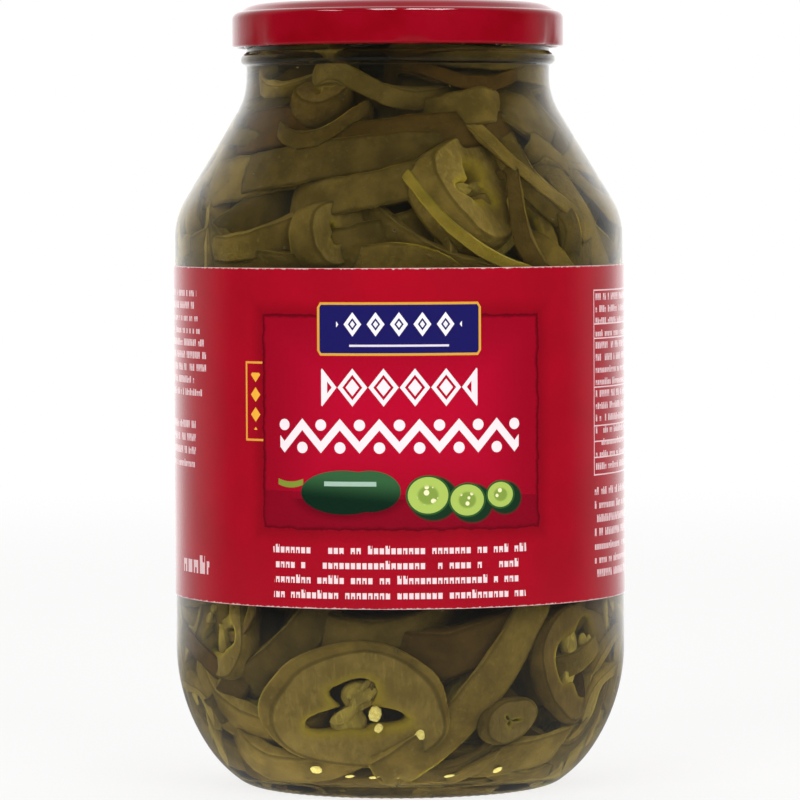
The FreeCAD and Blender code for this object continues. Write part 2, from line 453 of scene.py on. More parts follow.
def grid_quads(rows, columns):
    """Faces of a grid that closes both ways. Leave out the last row or column to open it."""
    grid = np.arange(rows * columns).reshape(rows, columns)
    above = np.roll(grid, -1, axis=0)
    return np.stack([grid, np.roll(grid, -1, axis=1), np.roll(above, -1, axis=1), above], axis=2)


def as_faces(quads, flip=False):
    quads = quads.reshape(-1, 4)
    return (quads[:, [0, 3, 2, 1]] if flip else quads).tolist()


def smooth_mesh(name, points, faces):
    mesh = bpy.data.meshes.new(name)
    mesh.from_pydata(points, [], faces)
    mesh.polygons.foreach_set("use_smooth", [True] * len(mesh.polygons))
    return mesh


def turn_on_lathe(name, outline, around, finish, shape=None):
    """Turns an outline, which starts and ends on the axis, about Z. shape may move the points."""
    radius, height = np.array(outline).T
    angle = np.arange(around) * 2 * math.pi / around
    radii, angles = np.meshgrid(radius[1:-1], angle, indexing="ij")
    heights = np.meshgrid(height[1:-1], angle, indexing="ij")[0]
    if shape:
        radii, heights = shape(radii, heights, angles)
    ring = np.stack([radii * np.cos(angles), radii * np.sin(angles), heights], axis=2).reshape(-1, 3)
    points = np.vstack([ring, [(0, 0, height[0]), (0, 0, height[-1])]]) / 1000
    quads = grid_quads(len(radius) - 2, around)
    first = len(points) - 2
    fans = [(first, b, a) for a, b in quads[0, :, :2].tolist()]
    fans += [(a, b, first + 1) for a, b in quads[-1, :, :2].tolist()]
    piece = add_object(name, smooth_mesh(name, points.tolist(), as_faces(quads[:-1]) + fans))
    piece.data.materials.append(finish)
    return piece


def belongs(piece, node):
    """The piece rides on the only body and stands in for a CAD node, which it hides."""
    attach(piece, "root")
    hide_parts(node)
    piece.data.calc_loop_triangles()
    print(f"{piece.name}: {len(piece.data.loop_triangles)} triangles")
    return piece


print("outline pen and lathe ready")

# %% [markdown]
# ## Glass jar
# The jar is clear pressed-and-blown glass. Outside it has a stippled bearing ring, a round heel, a
# straight side, a sloping shoulder, a bead below the lid, and six short thread ramps. Inside it
# follows at a wall's distance. One closed outline for both faces, turned finely, bends light as the
# real wall does, which no single-skinned surface could. Ramps and stipples are pushed out of the
# turned surface by a rule.

# %% Dimensions of the glass
WALL = 3.2
HEEL_HEIGHT = 43.85
HEEL_RADIUS = 58.0
HEEL_TURN = 34.0
TOE_RADIUS = 38.0
SHOULDER_HEIGHT = 170.9
SHOULDER_RADIUS = 21.9
NECK_RISE = 49.7
NECK_CURVE = 22.1
NECK_RADIUS = 47.3
NECK_WALL = 3.9
NECK_HEIGHT = SHOULDER_HEIGHT + NECK_RISE
BEAD_HEIGHT = 5.1
BEAD_HALF = 2.7 * math.sin(math.radians(70))
RIM_ROUND = 1.4
PUSH_UP = 4.6
BORE = NECK_RADIUS - NECK_WALL
print(f"neck to {NECK_HEIGHT:.1f} mm, {BORE:.1f} mm radius inside")

# %% Outlines of the glass and of its hollow
OUTER_CORNER = 9.4
INNER_CORNER = 9.0
FLOOR_CROWN = 2.2


def heel_bottom(height, corner, thickness):
    """Where the heel ends, and how far its corner turns."""
    drop_in = (HEEL_RADIUS - TOE_RADIUS) * math.sin(math.radians(HEEL_TURN))
    toe_r = BODY - HEEL_RADIUS + (HEEL_RADIUS - TOE_RADIUS) * math.cos(math.radians(HEEL_TURN))
    drop = HEEL_HEIGHT - drop_in - (height + corner)
    reach = math.sqrt((TOE_RADIUS - thickness - corner) ** 2 - drop * drop)
    return toe_r + reach, 90 - math.degrees(math.atan2(drop, reach))


def draw_side(pen, thickness, corner, corner_turn, hollow):
    """Heel, straight side, shoulder and neck."""
    pen.bend(corner, corner_turn, 6)
    pen.bend(TOE_RADIUS - thickness, 90 - corner_turn - HEEL_TURN, 3)
    pen.bend(HEEL_RADIUS - thickness, HEEL_TURN, 3)
    pen.ahead(SHOULDER_HEIGHT - HEEL_HEIGHT, 6)
    out = SHOULDER_RADIUS - thickness
    across = NECK_RADIUS + NECK_CURVE - (BODY - SHOULDER_RADIUS)
    apart = math.hypot(across, NECK_RISE)
    lean = math.degrees(math.asin((out + hollow) / apart) - math.atan2(across, NECK_RISE))
    pen.bend(out, lean, 3)
    pen.ahead(math.sqrt(apart**2 - (out + hollow) ** 2), 3)
    return pen.bend(hollow, -lean, 3)


def draw_outside():
    bearing, corner_turn = heel_bottom(0, OUTER_CORNER, 0)
    pen = Outline(0, PUSH_UP, 0)
    pen.ease(bearing - 2.4, -PUSH_UP)
    pen.ahead(2.4, 6)
    draw_side(pen, 0, OUTER_CORNER, corner_turn, NECK_CURVE)
    pen.ahead(BEAD_HEIGHT - BEAD_HALF)
    pen.bend(0.6, -70, 18).bend(2.1, 140, 9).bend(0.6, -70, 18)
    finish = JAR_TOP - RIM_ROUND - NECK_HEIGHT - BEAD_HEIGHT - BEAD_HALF
    pen.ahead(finish, round(finish / 0.3))
    return pen.bend(RIM_ROUND, 90, 10)


def draw_hollow(aside=0.0):
    edge, corner_turn = heel_bottom(FLOOR_LOW, INNER_CORNER, WALL)
    pen = Outline(0, FLOOR_LOW + FLOOR_CROWN, 0, aside)
    pen.ease(edge, -FLOOR_CROWN)
    return draw_side(pen, WALL, INNER_CORNER, corner_turn, NECK_CURVE + NECK_WALL)


outside = draw_outside()
hollow = draw_hollow()
hollow.ahead(JAR_TOP - RIM_ROUND - NECK_HEIGHT, 8).bend(RIM_ROUND, -90, 10)
glass_outline = outside.points + hollow.points[::-1]
print(f"glass outline: {len(glass_outline)} points")

# %% Thread ramps and stipples
LUGS = [math.radians(-90 + 5 + 60 * n) for n in range(6)]
RIDGES = 96
LUG_TOP = LID_LOW + 1.0
THREAD_RADIUS = 1.55
THREAD_SPAN = 52
THREAD_AHEAD = 23
THREAD_CLIMB = math.tan(math.radians(5.6))


def away_from(lug, angle):
    """Degrees from a lug, from -180 to 180."""
    return np.degrees((angle - lug + math.pi) % (2 * math.pi) - math.pi)


def thread_bulge(height, angle):
    """How far the ramps stand out of the finish."""
    bulge = np.zeros_like(height)
    for lug in LUGS:
        along = away_from(lug, angle) + THREAD_AHEAD
        inside = np.clip(along, 0, THREAD_SPAN)
        climb = np.sin(np.radians(inside - THREAD_SPAN / 2)) - math.sin(math.radians(-3))
        middle = LUG_TOP + 0.06 + THREAD_RADIUS + NECK_RADIUS * THREAD_CLIMB * climb
        past = np.radians(along - inside) * NECK_RADIUS
        away = np.hypot(height - middle, past)
        bulge = np.maximum(bulge, np.sqrt(np.clip(THREAD_RADIUS**2 - away**2, 0, None)))
    return bulge


def stipple(radius, height, angle):
    """Small ridges across the bearing ring, on which the jar stands."""
    ridge = 0.5 - 0.5 * np.cos(angle * RIDGES)
    near = np.clip(1 - np.abs(radius - 45.2) / 3.2, 0, 1) * (height < 1.2)
    return 0.34 * near * ridge


def mould_glass(radius, height, angle):
    finish = (np.abs(radius - NECK_RADIUS) < 0.01) & (height > LID_LOW - 1.5)
    raised = np.where(finish, thread_bulge(height, angle), 0)
    return radius + raised, height + stipple(radius, height, angle)


print(f"{len(LUGS)} ramps near {LUG_TOP:.1f} mm, {RIDGES} ridges below")


# %% Turn the glass
def clear_body(finish, tint, bends, shine, passed, more=None):
    """A clear shader that bends light, and lets the lamps' light straight through.

    shine is the reflected share: 1 against air, 0 between brine and glass.
    """
    values = {"Base Color": tint, "Roughness": 0.0, "IOR": bends, "Transmission Weight": 1.0}
    values["Specular Tint"] = (shine, shine, shine, 1)
    clear = finish.node("ShaderNodeBsdfPrincipled", None, {**values, **(more or {})})
    through = finish.node("ShaderNodeBsdfTransparent", None, {0: passed})
    lamp_ray = finish.ray("Is Shadow Ray").larger(finish.ray("Is Diffuse Ray"))
    return finish.blend(lamp_ray, clear, through)


def glass_finish(name, shine):
    glass = new_finish(name)
    ripple = glass.bump(glass.noise(glass.place(), 26.0, 1.0), 0.00018)
    green = (0.97, 0.98, 0.96, 1)
    return glass.done(clear_body(glass, paint(247, 250, 246), 1.5, shine, green, {"Normal": ripple}))


jar_glass = turn_on_lathe("jar_glass", glass_outline, 288, glass_finish("clear_glass", 1.0), mould_glass)
jar_glass.data.materials.append(glass_finish("wetted_glass", 0.0))
# the faces that the brine wets take the second material
for face in jar_glass.data.polygons:
    height = face.center.z * 1000
    reach = math.hypot(face.center.x, face.center.y) * 1000
    inward = face.normal.x * face.center.x + face.normal.y * face.center.y < 0
    on_floor = face.normal.z > 0.5 and reach < 55 and height > FLOOR_LOW - 1
    wetted = (inward and reach > 30 and FLOOR_LOW < height < FILL) or on_floor and height < 20
    face.material_index = int(wetted)
belongs(jar_glass, "jar")

# %% [markdown]
# ## Brine
# Weak vinegar brine, tinted yellow by the chillies. Its outline is the jar's hollow, grown two
# tenths of a millimetre into the wall: with no air between them the light goes from glass to water,
# as in the real jar. The surface curls up where it meets the glass. The tint is a volume that takes
# up blue light on the way, and a little scatter makes it cloudy, as brine is in which chillies lie.

# %% Pour the brine
def brine_finish():
    brine = new_finish("yellow_brine")
    tint = brine.node("ShaderNodeVolumeAbsorption", None, {0: paint(218, 200, 116), 1: 20.0})
    haze = {0: (0.9, 0.86, 0.66, 1), "Density": 5.0, "Anisotropy": 0.3}
    murk = brine.node("ShaderNodeVolumeScatter", None, haze)
    cloudy = brine.node("ShaderNodeAddShader", None, {0: tint, 1: murk})
    return brine.done(clear_body(brine, WHITE, 1.333, 0, WHITE), cloudy)


INTO_WALL = 0.2
CURL_UP = 0.9
pool = draw_hollow(-INTO_WALL)
pool.ahead(FILL - NECK_HEIGHT - CURL_UP)
for step in range(12):
    inward = 0.5 * 1.25**step - 0.5
    level = FILL - CURL_UP + CURL_UP * math.exp(-inward / 1.4)
    pool.points.append((BORE + INTO_WALL - inward, level))
pool.points.append((0, FILL - CURL_UP))
brine_body = turn_on_lathe("brine_body", pool.points, 192, brine_finish())
belongs(brine_body, "brine")

# %% [markdown]
# ## Inside wall as a rule
# Slices lie against the glass, so the script has to know how far out the inside wall is at any
# height, how it leans there, and how high the floor is.

# %% Tables of the hollow
side_r, side_z = np.array([p for p in hollow.points if p[0] > 30 and p[1] < JAR_TOP - 3]).T
rising = np.concatenate([[True], np.diff(side_z) > 1e-6])
side_r = side_r[rising]
side_z = side_z[rising]


def wall_at(height):
    """Inside radius of the glass."""
    return np.interp(height, side_z, side_r)


def floor_at(radius):
    """Height of the inside floor: a low crown in the middle."""
    return FLOOR_LOW + 1.1 * (1 + np.cos(np.pi * np.clip(np.asarray(radius) / 47.2, 0, 1)))


def wall_frame(azimuth, height):
    """Right, up and out of the wall, as the columns of a matrix."""
    turn = math.radians(azimuth)
    lean = math.atan2(float(wall_at(height + 2) - wall_at(height - 2)), 4.0)
    right = Vector((math.cos(turn), math.sin(turn), 0))
    out = Vector((math.sin(turn) * math.cos(lean), -math.cos(turn) * math.cos(lean), -math.sin(lean)))
    up = out.cross(right)
    return Matrix((right, up, out)).transposed()


def keep_inside(piece, gap=0.25, knee=3.0):
    """Presses every point of a piece back inside the glass and under the brine's surface.

    Points within a knee of the wall are squeezed, not cut off, so that those in front stay in front.
    """
    mesh = piece.data
    flat = np.empty(len(mesh.vertices) * 3)
    mesh.vertices.foreach_get("co", flat)
    points = flat.reshape(-1, 3) * 1000
    points[:, 2] = np.clip(points[:, 2], 0, FILL - 1.6)
    radius = np.hypot(points[:, 0], points[:, 1])
    points[:, 2] = np.maximum(points[:, 2], floor_at(radius) + gap)
    limit = wall_at(points[:, 2]) - gap
    over = np.maximum(radius - (limit - knee), 0)
    pressed = radius - over + knee * (1 - np.exp(-over / knee))
    points[:, :2] *= (pressed / np.maximum(radius, 1e-6))[:, None]
    mesh.vertices.foreach_set("co", (points / 1000).ravel())
    mesh.update()


print(f"inside wall from {side_z[0]:.1f} to {side_z[-1]:.1f} mm, up to {side_r.max():.1f} mm out")

# %% [markdown]
# ## One chilli slice
# A slice is a short piece of a hollow fruit: a ring with dark skin outside, paler flesh on the two
# cut faces, and a cavity crossed by pale ribs that carry the seeds. Pickling softens it, so it bows
# and its faces are no longer parallel. Each kind is a grid of points that runs round the ring and
# round its section. A number at each point tells the material how deep in the flesh it lies.

# %% Shape a ring
# round the section of a ring: depth from the skin (0) to the cavity (1), and level
SECTION = [
    (0.14, -0.5), (0.05, -0.49), (0.0, -0.4), (-0.04, -0.15), (-0.04, 0.15), (0.0, 0.4), (0.05, 0.49),
    (0.14, 0.5), (0.4, 0.47), (0.72, 0.48), (0.93, 0.4), (1.03, 0.12), (1.03, -0.12), (0.93, -0.4),
    (0.72, -0.48), (0.4, -0.47),
]
RING_STEPS = 40
SLICE_RADIUS = 18.0
FULL_TURN = 2 * math.pi


def round_steps(count):
    return np.arange(count) * FULL_TURN / count


def shape_ring(rng, kind):
    """Points of one slice in millimetres, and how deep in the flesh each of them lies."""
    angle = round_steps(RING_STEPS)
    turns = rng.uniform(0, FULL_TURN, 6)
    outer = 1 + kind.lobes * np.cos(3 * angle + turns[0]) + 0.035 * np.cos(2 * angle + turns[1])
    outer = SLICE_RADIUS * (outer + 0.012 * np.cos(7 * angle + turns[2]))
    wall = kind.flesh * (1 + 0.22 * np.cos(3 * angle + turns[3]) + 0.1 * np.cos(5 * angle + turns[4]))
    height = kind.thick * (1 + kind.wedge * np.cos(angle + turns[5]))
    depth, level = np.array(SECTION).T
    reach = np.maximum(outer[:, None] - wall[:, None] * depth, 0.3)
    x = reach * np.cos(angle)[:, None] * kind.oval
    y = reach * np.sin(angle)[:, None] / kind.oval
    z = height[:, None] * level + kind.bow * (x * x - y * y) / SLICE_RADIUS
    z = z + 0.25 * np.sin(x * 0.6 + turns[0]) * np.cos(y * 0.5 + turns[1])
    points = np.stack([x + kind.shear * z, y, z], axis=2).reshape(-1, 3)
    return points, np.tile(depth, RING_STEPS)


print(f"a ring has {RING_STEPS} steps round, and {len(SECTION)} points in its section")

# %% Shape the ribs inside it
PITH_STEPS = 30
# from the middle of the upper face to the edge and back below: share of the reach, and level
PITH_SECTION = [
    (0.0, 0.3), (0.35, 0.42), (0.7, 0.36), (0.93, 0.26), (1.0, 0.0), (0.93, -0.26), (0.7, -0.36),
    (0.35, -0.42), (0.0, -0.3),
]


def shape_pith(rng, arms, radius, thick, kind):
    """Ribs and core that cross the cavity: a star with soft arms and a hollow between each two."""
    angle = round_steps(PITH_STEPS)
    turn = rng.uniform(0, FULL_TURN)
    lobe = (0.5 + 0.5 * np.cos(arms * angle + turn)) ** 1.7
    uneven = 0.1 * np.cos(2 * angle + turn)
    reach = radius * (0.3 + uneven + (0.78 - uneven) * lobe)
    wave = 0.12 * np.cos(5 * angle + turn) + 0.08 * np.cos(8 * angle - turn)
    points = []
    for share, level in PITH_SECTION:
        z = thick * (level + 0.3 * share * wave)
        x = reach * share * np.cos(angle) * kind.oval + kind.shear * z
        points.append(np.stack([x, reach * share * np.sin(angle) / kind.oval, z], axis=1))
    quads = grid_quads(len(PITH_SECTION), PITH_STEPS)
    return np.concatenate(points), as_faces(quads[:-1], True)


print(f"a rib star has {PITH_STEPS} steps round, in {len(PITH_SECTION)} rings")

# %% Cut one mesh of each kind
Kind = namedtuple("Kind", "flesh thick lobes wedge bow shear oval arms")
KINDS = [
    Kind(4.6, 8.0, 0.040, 0.10, 0.10, 0.0, 1.04, 3),
    Kind(5.6, 9.0, 0.060, 0.18, 0.05, 0.25, 1.10, 2),
    Kind(4.2, 7.0, 0.050, 0.15, 0.22, 0.55, 1.18, 3),
    Kind(5.0, 8.5, 0.080, 0.22, -0.18, 0.35, 1.06, 2),
    Kind(3.9, 6.5, 0.030, 0.12, 0.30, 0.10, 1.15, 3),
    Kind(6.4, 10.0, 0.050, 0.25, 0.08, 0.40, 1.02, 2),
    Kind(17.2, 15.0, 0.030, 0.20, 0.05, 0.20, 1.05, 0),
    Kind(5.2, 8.0, 0.045, 0.08, 0.04, 0.15, 1.25, 2),
    Kind(11.0, 7.5, 0.045, 0.10, 0.06, 0.20, 1.10, 2),
    Kind(8.0, 9.0, 0.060, 0.16, 0.04, 0.10, 1.00, 3),
    Kind(12.0, 9.0, 0.050, 0.10, 0.04, 0.10, 1.02, 2),
]
TIP = 6  # the kind from the fruit's tip, which has hardly any cavity


def add_layer(mesh, name, kind, field, numbers):
    """Stores a number or a vector at each point of a mesh."""
    layer = mesh.attributes.new(name, kind, "POINT")
    layer.data.foreach_set(field, np.ravel(numbers).tolist())


def add_kind(folder, name, points, faces):
    """A mesh for the node tree to pick, from points in millimetres."""
    mesh = smooth_mesh(name, (np.array(points) / 1000).tolist(), faces)
    folder.objects.link(bpy.data.objects.new(name, mesh))
    return mesh


slice_kinds = bpy.data.collections.new("slice_kinds")
pith_kinds = bpy.data.collections.new("pith_kinds")
ring_faces = as_faces(grid_quads(RING_STEPS, len(SECTION)), True)
for number, kind in enumerate(KINDS):
    rng = np.random.default_rng(40 + number)
    points, deep = shape_ring(rng, kind)
    ring = add_kind(slice_kinds, f"slice_kind_{number:02d}", points, ring_faces)
    add_layer(ring, "deep", "FLOAT", "value", deep)
    cavity = SLICE_RADIUS - kind.flesh * 0.9
    star, faces = shape_pith(rng, max(kind.arms, 2), cavity, kind.thick * 0.72, kind)
    # a slice without arms gets a star too small to be seen
    add_kind(pith_kinds, f"pith_kind_{number:02d}", star * (1 if kind.arms else 0.1), faces)
print(f"{len(KINDS)} kinds of slice, {len(ring_faces)} faces each")

# %% [markdown]
# ## Where the slices lie
# Slices poured into a jar lie at all angles, and those at the wall press flat against the glass. The
# ones that show at the front are placed one by one, from a list. The rest are thrown in by a seeded
# rule: each new slice slides outwards until it touches the wall or stops short at a chosen depth, and
# it stays only where it doesn't cut far into the others. The label hides the middle of the jar, so
# only the parts above and below it are filled.

# %% Place the front slices one by one
# azimuth from the front (right is positive), height, gap to the glass (less than 0 is pressed on it),
# lean in the plane of the wall, yaw to the right, pitch upwards and spin of the face; kind; stretch
FRONT_SLICES = [
    # above the label, from the top left
    (-34, 213, -1.5, 6, 10, 40, 20, 6, (0.5, 0.5, 0.7)),
    (-2, 218, -1.5, 3, 0, 80, 40, 4, (1.3, 1.0, 1.3)),
    (32, 213, -1.0, 4, 0, 80, 90, 7, (1.25, 1.0, 1.5)),
    (-52, 207, -1.0, 14, 0, 78, 10, 1, (1.0, 1.0, 1.4)),
    (-33, 205, -2.6, 9, 0, 74, 0, 4, (0.72, 0.8, 0.95)),
    (4, 205, 1.0, 8, 0, 82, 0, 7, (1.4, 1.0, 1.5)),
    (-26, 197.5, -0.4, 11, 0, 78, 0, 7, (1.5, 1.0, 1.55)),
    (-10, 189.5, -2.0, 13, 0, 80, 0, 5, (1.25, 1.0, 1.55)),
    (-57, 193, -0.8, 12, 0, 74, 0, 1, (1.1, 1.0, 1.5)),
    (-46, 180, -1.2, 5, -6, 50, 60, 9, (1.15, 0.9, 1.0)),
    (-45, 166, -1.4, -14, 0, 76, 0, 1, (1.3, 1.0, 1.5)),
    (-20.5, 171, -1.2, 4, 44, 6, 0, 6, (0.56, 0.58, 0.9)),
    (-9, 179, 3.0, 14, 0, 66, 0, 1, (1.1, 1.0, 1.2)),
    (20.5, 187.5, -2.0, 0, 30, 4, 30, 10, (0.93, 0.98, 1.5)),
    (8, 174.5, 0.4, -35, -12, 58, 0, 7, (1.3, 1.1, 1.35)),
    (30, 165, 3.0, -6, 0, 20, 0, 0, (1.0, 1.0, 1.2)),
    (0, 162, -2.2, -12, 0, 78, 0, 3, (1.3, 1.1, 1.5)),
    (44, 192, -1.6, -52, 0, 84, 0, 4, (1.4, 1.1, 0.85)),
    (54, 189, -0.2, -57, 0, 62, 0, 2, (1.3, 1.0, 1.5)),
    (42, 171, -0.8, -58, 0, 70, 0, 4, (1.0, 0.9, 1.0)),
    (66, 176, -1.1, -64, 0, 70, 0, 0, (1.2, 1.0, 1.2)),
    (19, 174.5, -2.2, -38, 0, 80, 0, 4, (1.25, 1.0, 0.6)),
    (66, 205, -1.0, -50, 0, 74, 0, 1, (1.0, 1.0, 1.4)),
    (53, 163, 0.6, 30, 0, 70, 0, 3, (1.0, 1.0, 1.2)),
    (-68, 175, -1.0, 10, 0, 70, 0, 0, (1.2, 1.0, 1.4)),
    # below the label, from the top left
    (-56, 52, -0.6, 0, -14, 6, 0, 9, (0.86, 0.9, 1.0)),
    (-35, 52, 0.6, 42, 0, 64, 0, 7, (1.2, 1.0, 1.4)),
    (-13.5, 28.0, -1.0, -10, 3, -6, 12, 8, (1.5, 1.15, 0.95)),
    (-52, 31, -1.2, -30, 0, 62, 0, 1, (1.2, 1.0, 1.5)),
    (-62, 38, -1.0, 30, 0, 60, 0, 0, (1.1, 1.0, 1.3)),
    (-9, 56, 0.8, 2, 0, 80, 0, 5, (1.35, 1.0, 1.35)),
    (-3, 49, 5.0, 4, 0, 78, 0, 1, (1.3, 1.0, 1.2)),
    (19, 53, 0.2, 14, 0, 72, 0, 1, (1.3, 1.0, 1.4)),
    (20.5, 34, -4.2, 51, 0, 80, 0, 7, (1.7, 0.6, 1.5)),
    (31, 24, -0.6, 20, 10, 10, 0, 6, (0.46, 0.4, 0.5)),
    (54, 42, -0.6, 0, 6, 0, 90, 9, (1.05, 0.9, 0.9)),
    (41, 15, -1.6, 12, 0, 74, 0, 3, (1.2, 1.0, 1.3)),
    (10, 12.5, 2.0, 4, 0, 78, 0, 4, (1.2, 1.0, 1.1)),
    (-38, 13, 1.0, -10, 0, 72, 0, 1, (1.2, 1.0, 1.3)),
    (60, 23, -1.0, 40, 0, 66, 0, 2, (1.0, 1.0, 1.2)),
]


# some of them are browner (near 0), greener (near 1) or yellow (2)
HERO_TINTS = {
    5: 0.2, 6: 0.3, 7: 0.55, 12: 0.5, 13: 0.85, 14: 0.6, 17: 0.9, 18: 0.6, 19: 0.25, 21: 1.25, 28: 0.9,
    34: 0.4,
}


def turn_by(degrees, axis):
    return Matrix.Rotation(math.radians(degrees), 3, axis)


def lay(azimuth, height, depth, lean=0, yaw=0, pitch=0, spin=0):
    """Centre in millimetres and turn of a thing at the wall, depth inside it."""
    wall = wall_frame(azimuth, height)
    turned = turn_by(lean, "Z") @ turn_by(yaw, "Y") @ turn_by(-pitch, "X") @ turn_by(spin, "Z")
    at_wall = Vector(round_jar(azimuth, float(wall_at(height)), height))
    return np.array(at_wall - wall.col[2] * depth), np.array(wall @ turned)


print(f"{len(FRONT_SLICES)} slices to lay by hand")

# %% Feel for the wall
# a slice while it looks for a place: sixteen balls stand for it, with one radius
Placed = namedtuple("Placed", "centre beads ball turned kind stretch")
BEADS = 16
RIM = round_steps(BEADS)
START_DEPTH = 12.0


def beads_of(centre, turned, kind, stretch):
    oval = KINDS[kind].oval
    reach = SLICE_RADIUS - min(KINDS[kind].flesh, SLICE_RADIUS) / 2
    x = reach * oval * stretch[0] * np.cos(RIM)
    y = reach / oval * stretch[1] * np.sin(RIM)
    return centre + np.stack([x, y, RIM * 0], 1) @ turned.T, 0.47 * KINDS[kind].thick * stretch[2]


def past_wall(beads, ball):
    """How far the balls stand past the glass."""
    height = np.clip(beads[:, 2], side_z[0], side_z[-1])
    return (np.hypot(beads[:, 0], beads[:, 1]) + ball - wall_at(height)).max()


def room_for(beads, ball, centre, slack):
    """True where the balls cut less than slack into the slices that already lie there."""
    near = np.array([placed.centre for placed in packed]) - centre
    close = [packed[i] for i in np.nonzero((near**2).sum(axis=1) < 75**2)[0]]
    if not close:
        return True
    others = np.concatenate([placed.beads for placed in close])
    sizes = np.concatenate([np.full(BEADS, placed.ball) for placed in close])
    apart = np.sqrt(((beads[:, None] - others[None]) ** 2).sum(axis=2)) - sizes[None] - ball
    return apart.min() >= -slack


packed = []
for azimuth, height, depth, lean, yaw, pitch, spin, kind, stretch in FRONT_SLICES:
    centre, turned = lay(azimuth, height, START_DEPTH, lean, yaw, pitch, spin)
    out = np.array(wall_frame(azimuth, height).col[2])
    for _ in range(4):
        beads, ball = beads_of(centre, turned, kind, stretch)
        centre = centre - out * (past_wall(beads, ball) + depth)
    packed.append(Placed(centre, *beads_of(centre, turned, kind, stretch), turned, kind, stretch))
print(f"{len(packed)} slices laid by hand")

# %% Throw in the rest
THROWN = [0, 1, 2, 3, 4, 5, 7, TIP]
THROWN_SHARES = [0.17, 0.16, 0.15, 0.13, 0.13, 0.1, 0.1, 0.06]
FLAT_SHARE = 0.34
ON_EDGE_SHARE = 0.72


def throw_slices(seed, tries, zones, depths, slack, aside=0):
    """Fills the zones from the wall inwards, from aside degrees round to the same on the other side."""
    rng = np.random.default_rng(seed)
    for depth in depths:
        for _ in range(tries):
            low, high = zones[rng.integers(len(zones))]
            azimuth = rng.uniform(-180 + aside, 180 - aside) + (180 if aside else 0)
            height = rng.uniform(low, high)
            style = rng.random()
            if style < FLAT_SHARE:
                pose = (0, rng.normal(0, 16), rng.normal(0, 16), rng.uniform(0, 360))
            elif style < ON_EDGE_SHARE:
                pose = (rng.normal(4, 20), 0, rng.uniform(60, 100), rng.uniform(0, 360))
            else:
                lean = rng.uniform(-80, 80)
                pose = (lean, rng.normal(0, 20), rng.uniform(40, 90), rng.uniform(0, 360))
            kind = int(rng.choice(THROWN, p=THROWN_SHARES))
            grow = rng.uniform(0.78, 1.25) * (0.5 if kind == TIP else 1)
            wide = grow * rng.uniform(0.95, 1.2)
            stretch = (wide, grow * rng.uniform(0.8, 1), rng.uniform(0.8, 1.35))
            centre, turned = lay(azimuth, height, START_DEPTH, *pose)
            beads, ball = beads_of(centre, turned, kind, stretch)
            out = np.array(round_jar(azimuth))
            for _ in range(3):
                shift = -past_wall(beads, ball) - depth
                centre = centre + out * shift
                beads = beads + out * shift
            top = beads[:, 2].max() + ball
            bottom = beads[:, 2].min() - ball
            if top > min(high + 14, FILL + 1.0) or bottom < max(low - 14, FLOOR_LOW - 3):
                continue
            if room_for(beads, ball, centre, slack):
                packed.append(Placed(centre, beads, ball, turned, kind, stretch))


ZONES = [(FLOOR_LOW + 3, LABEL_LOW + 12), (LABEL_TOP - 12, FILL - 4)]
ON_FLOOR = [(FLOOR_LOW + 1, FLOOR_LOW + 12)]
throw_slices(7, 1500, ZONES, (0.0, 4.0), 2.2)
throw_slices(8, 900, ZONES, (9.0, 15.0), 3.2)
throw_slices(9, 900, ZONES, (-1.0, 3.0), 5.5, 54)
throw_slices(10, 500, ON_FLOOR, (3.0, 12.0, 22.0), 4.6)
throw_slices(12, 330, ZONES, (-1.6,), 7.5, 74)
print(f"{len(packed)} slices placed, {len(FRONT_SLICES)} of them by hand")

# %% [markdown]
# ## Slices, ribs and seeds as pieces
# A Geometry Nodes tree puts the right kind at each point, with the point's own turn and stretch, and
# turns all of them into one mesh. The finished mesh is pressed back inside the glass, which flattens
# the slices that touch it.

# %% The tree that sets a kind at each point
def add_socket(tree, name, kind, way="INPUT"):
    return tree.interface.new_socket(name, in_out=way, socket_type="NodeSocket" + kind).identifier


def stored(tree, name, kind):
    node = tree.nodes.new("GeometryNodeInputNamedAttribute")
    node.data_type = kind
    node.inputs["Name"].default_value = name
    return node.outputs["Attribute"]


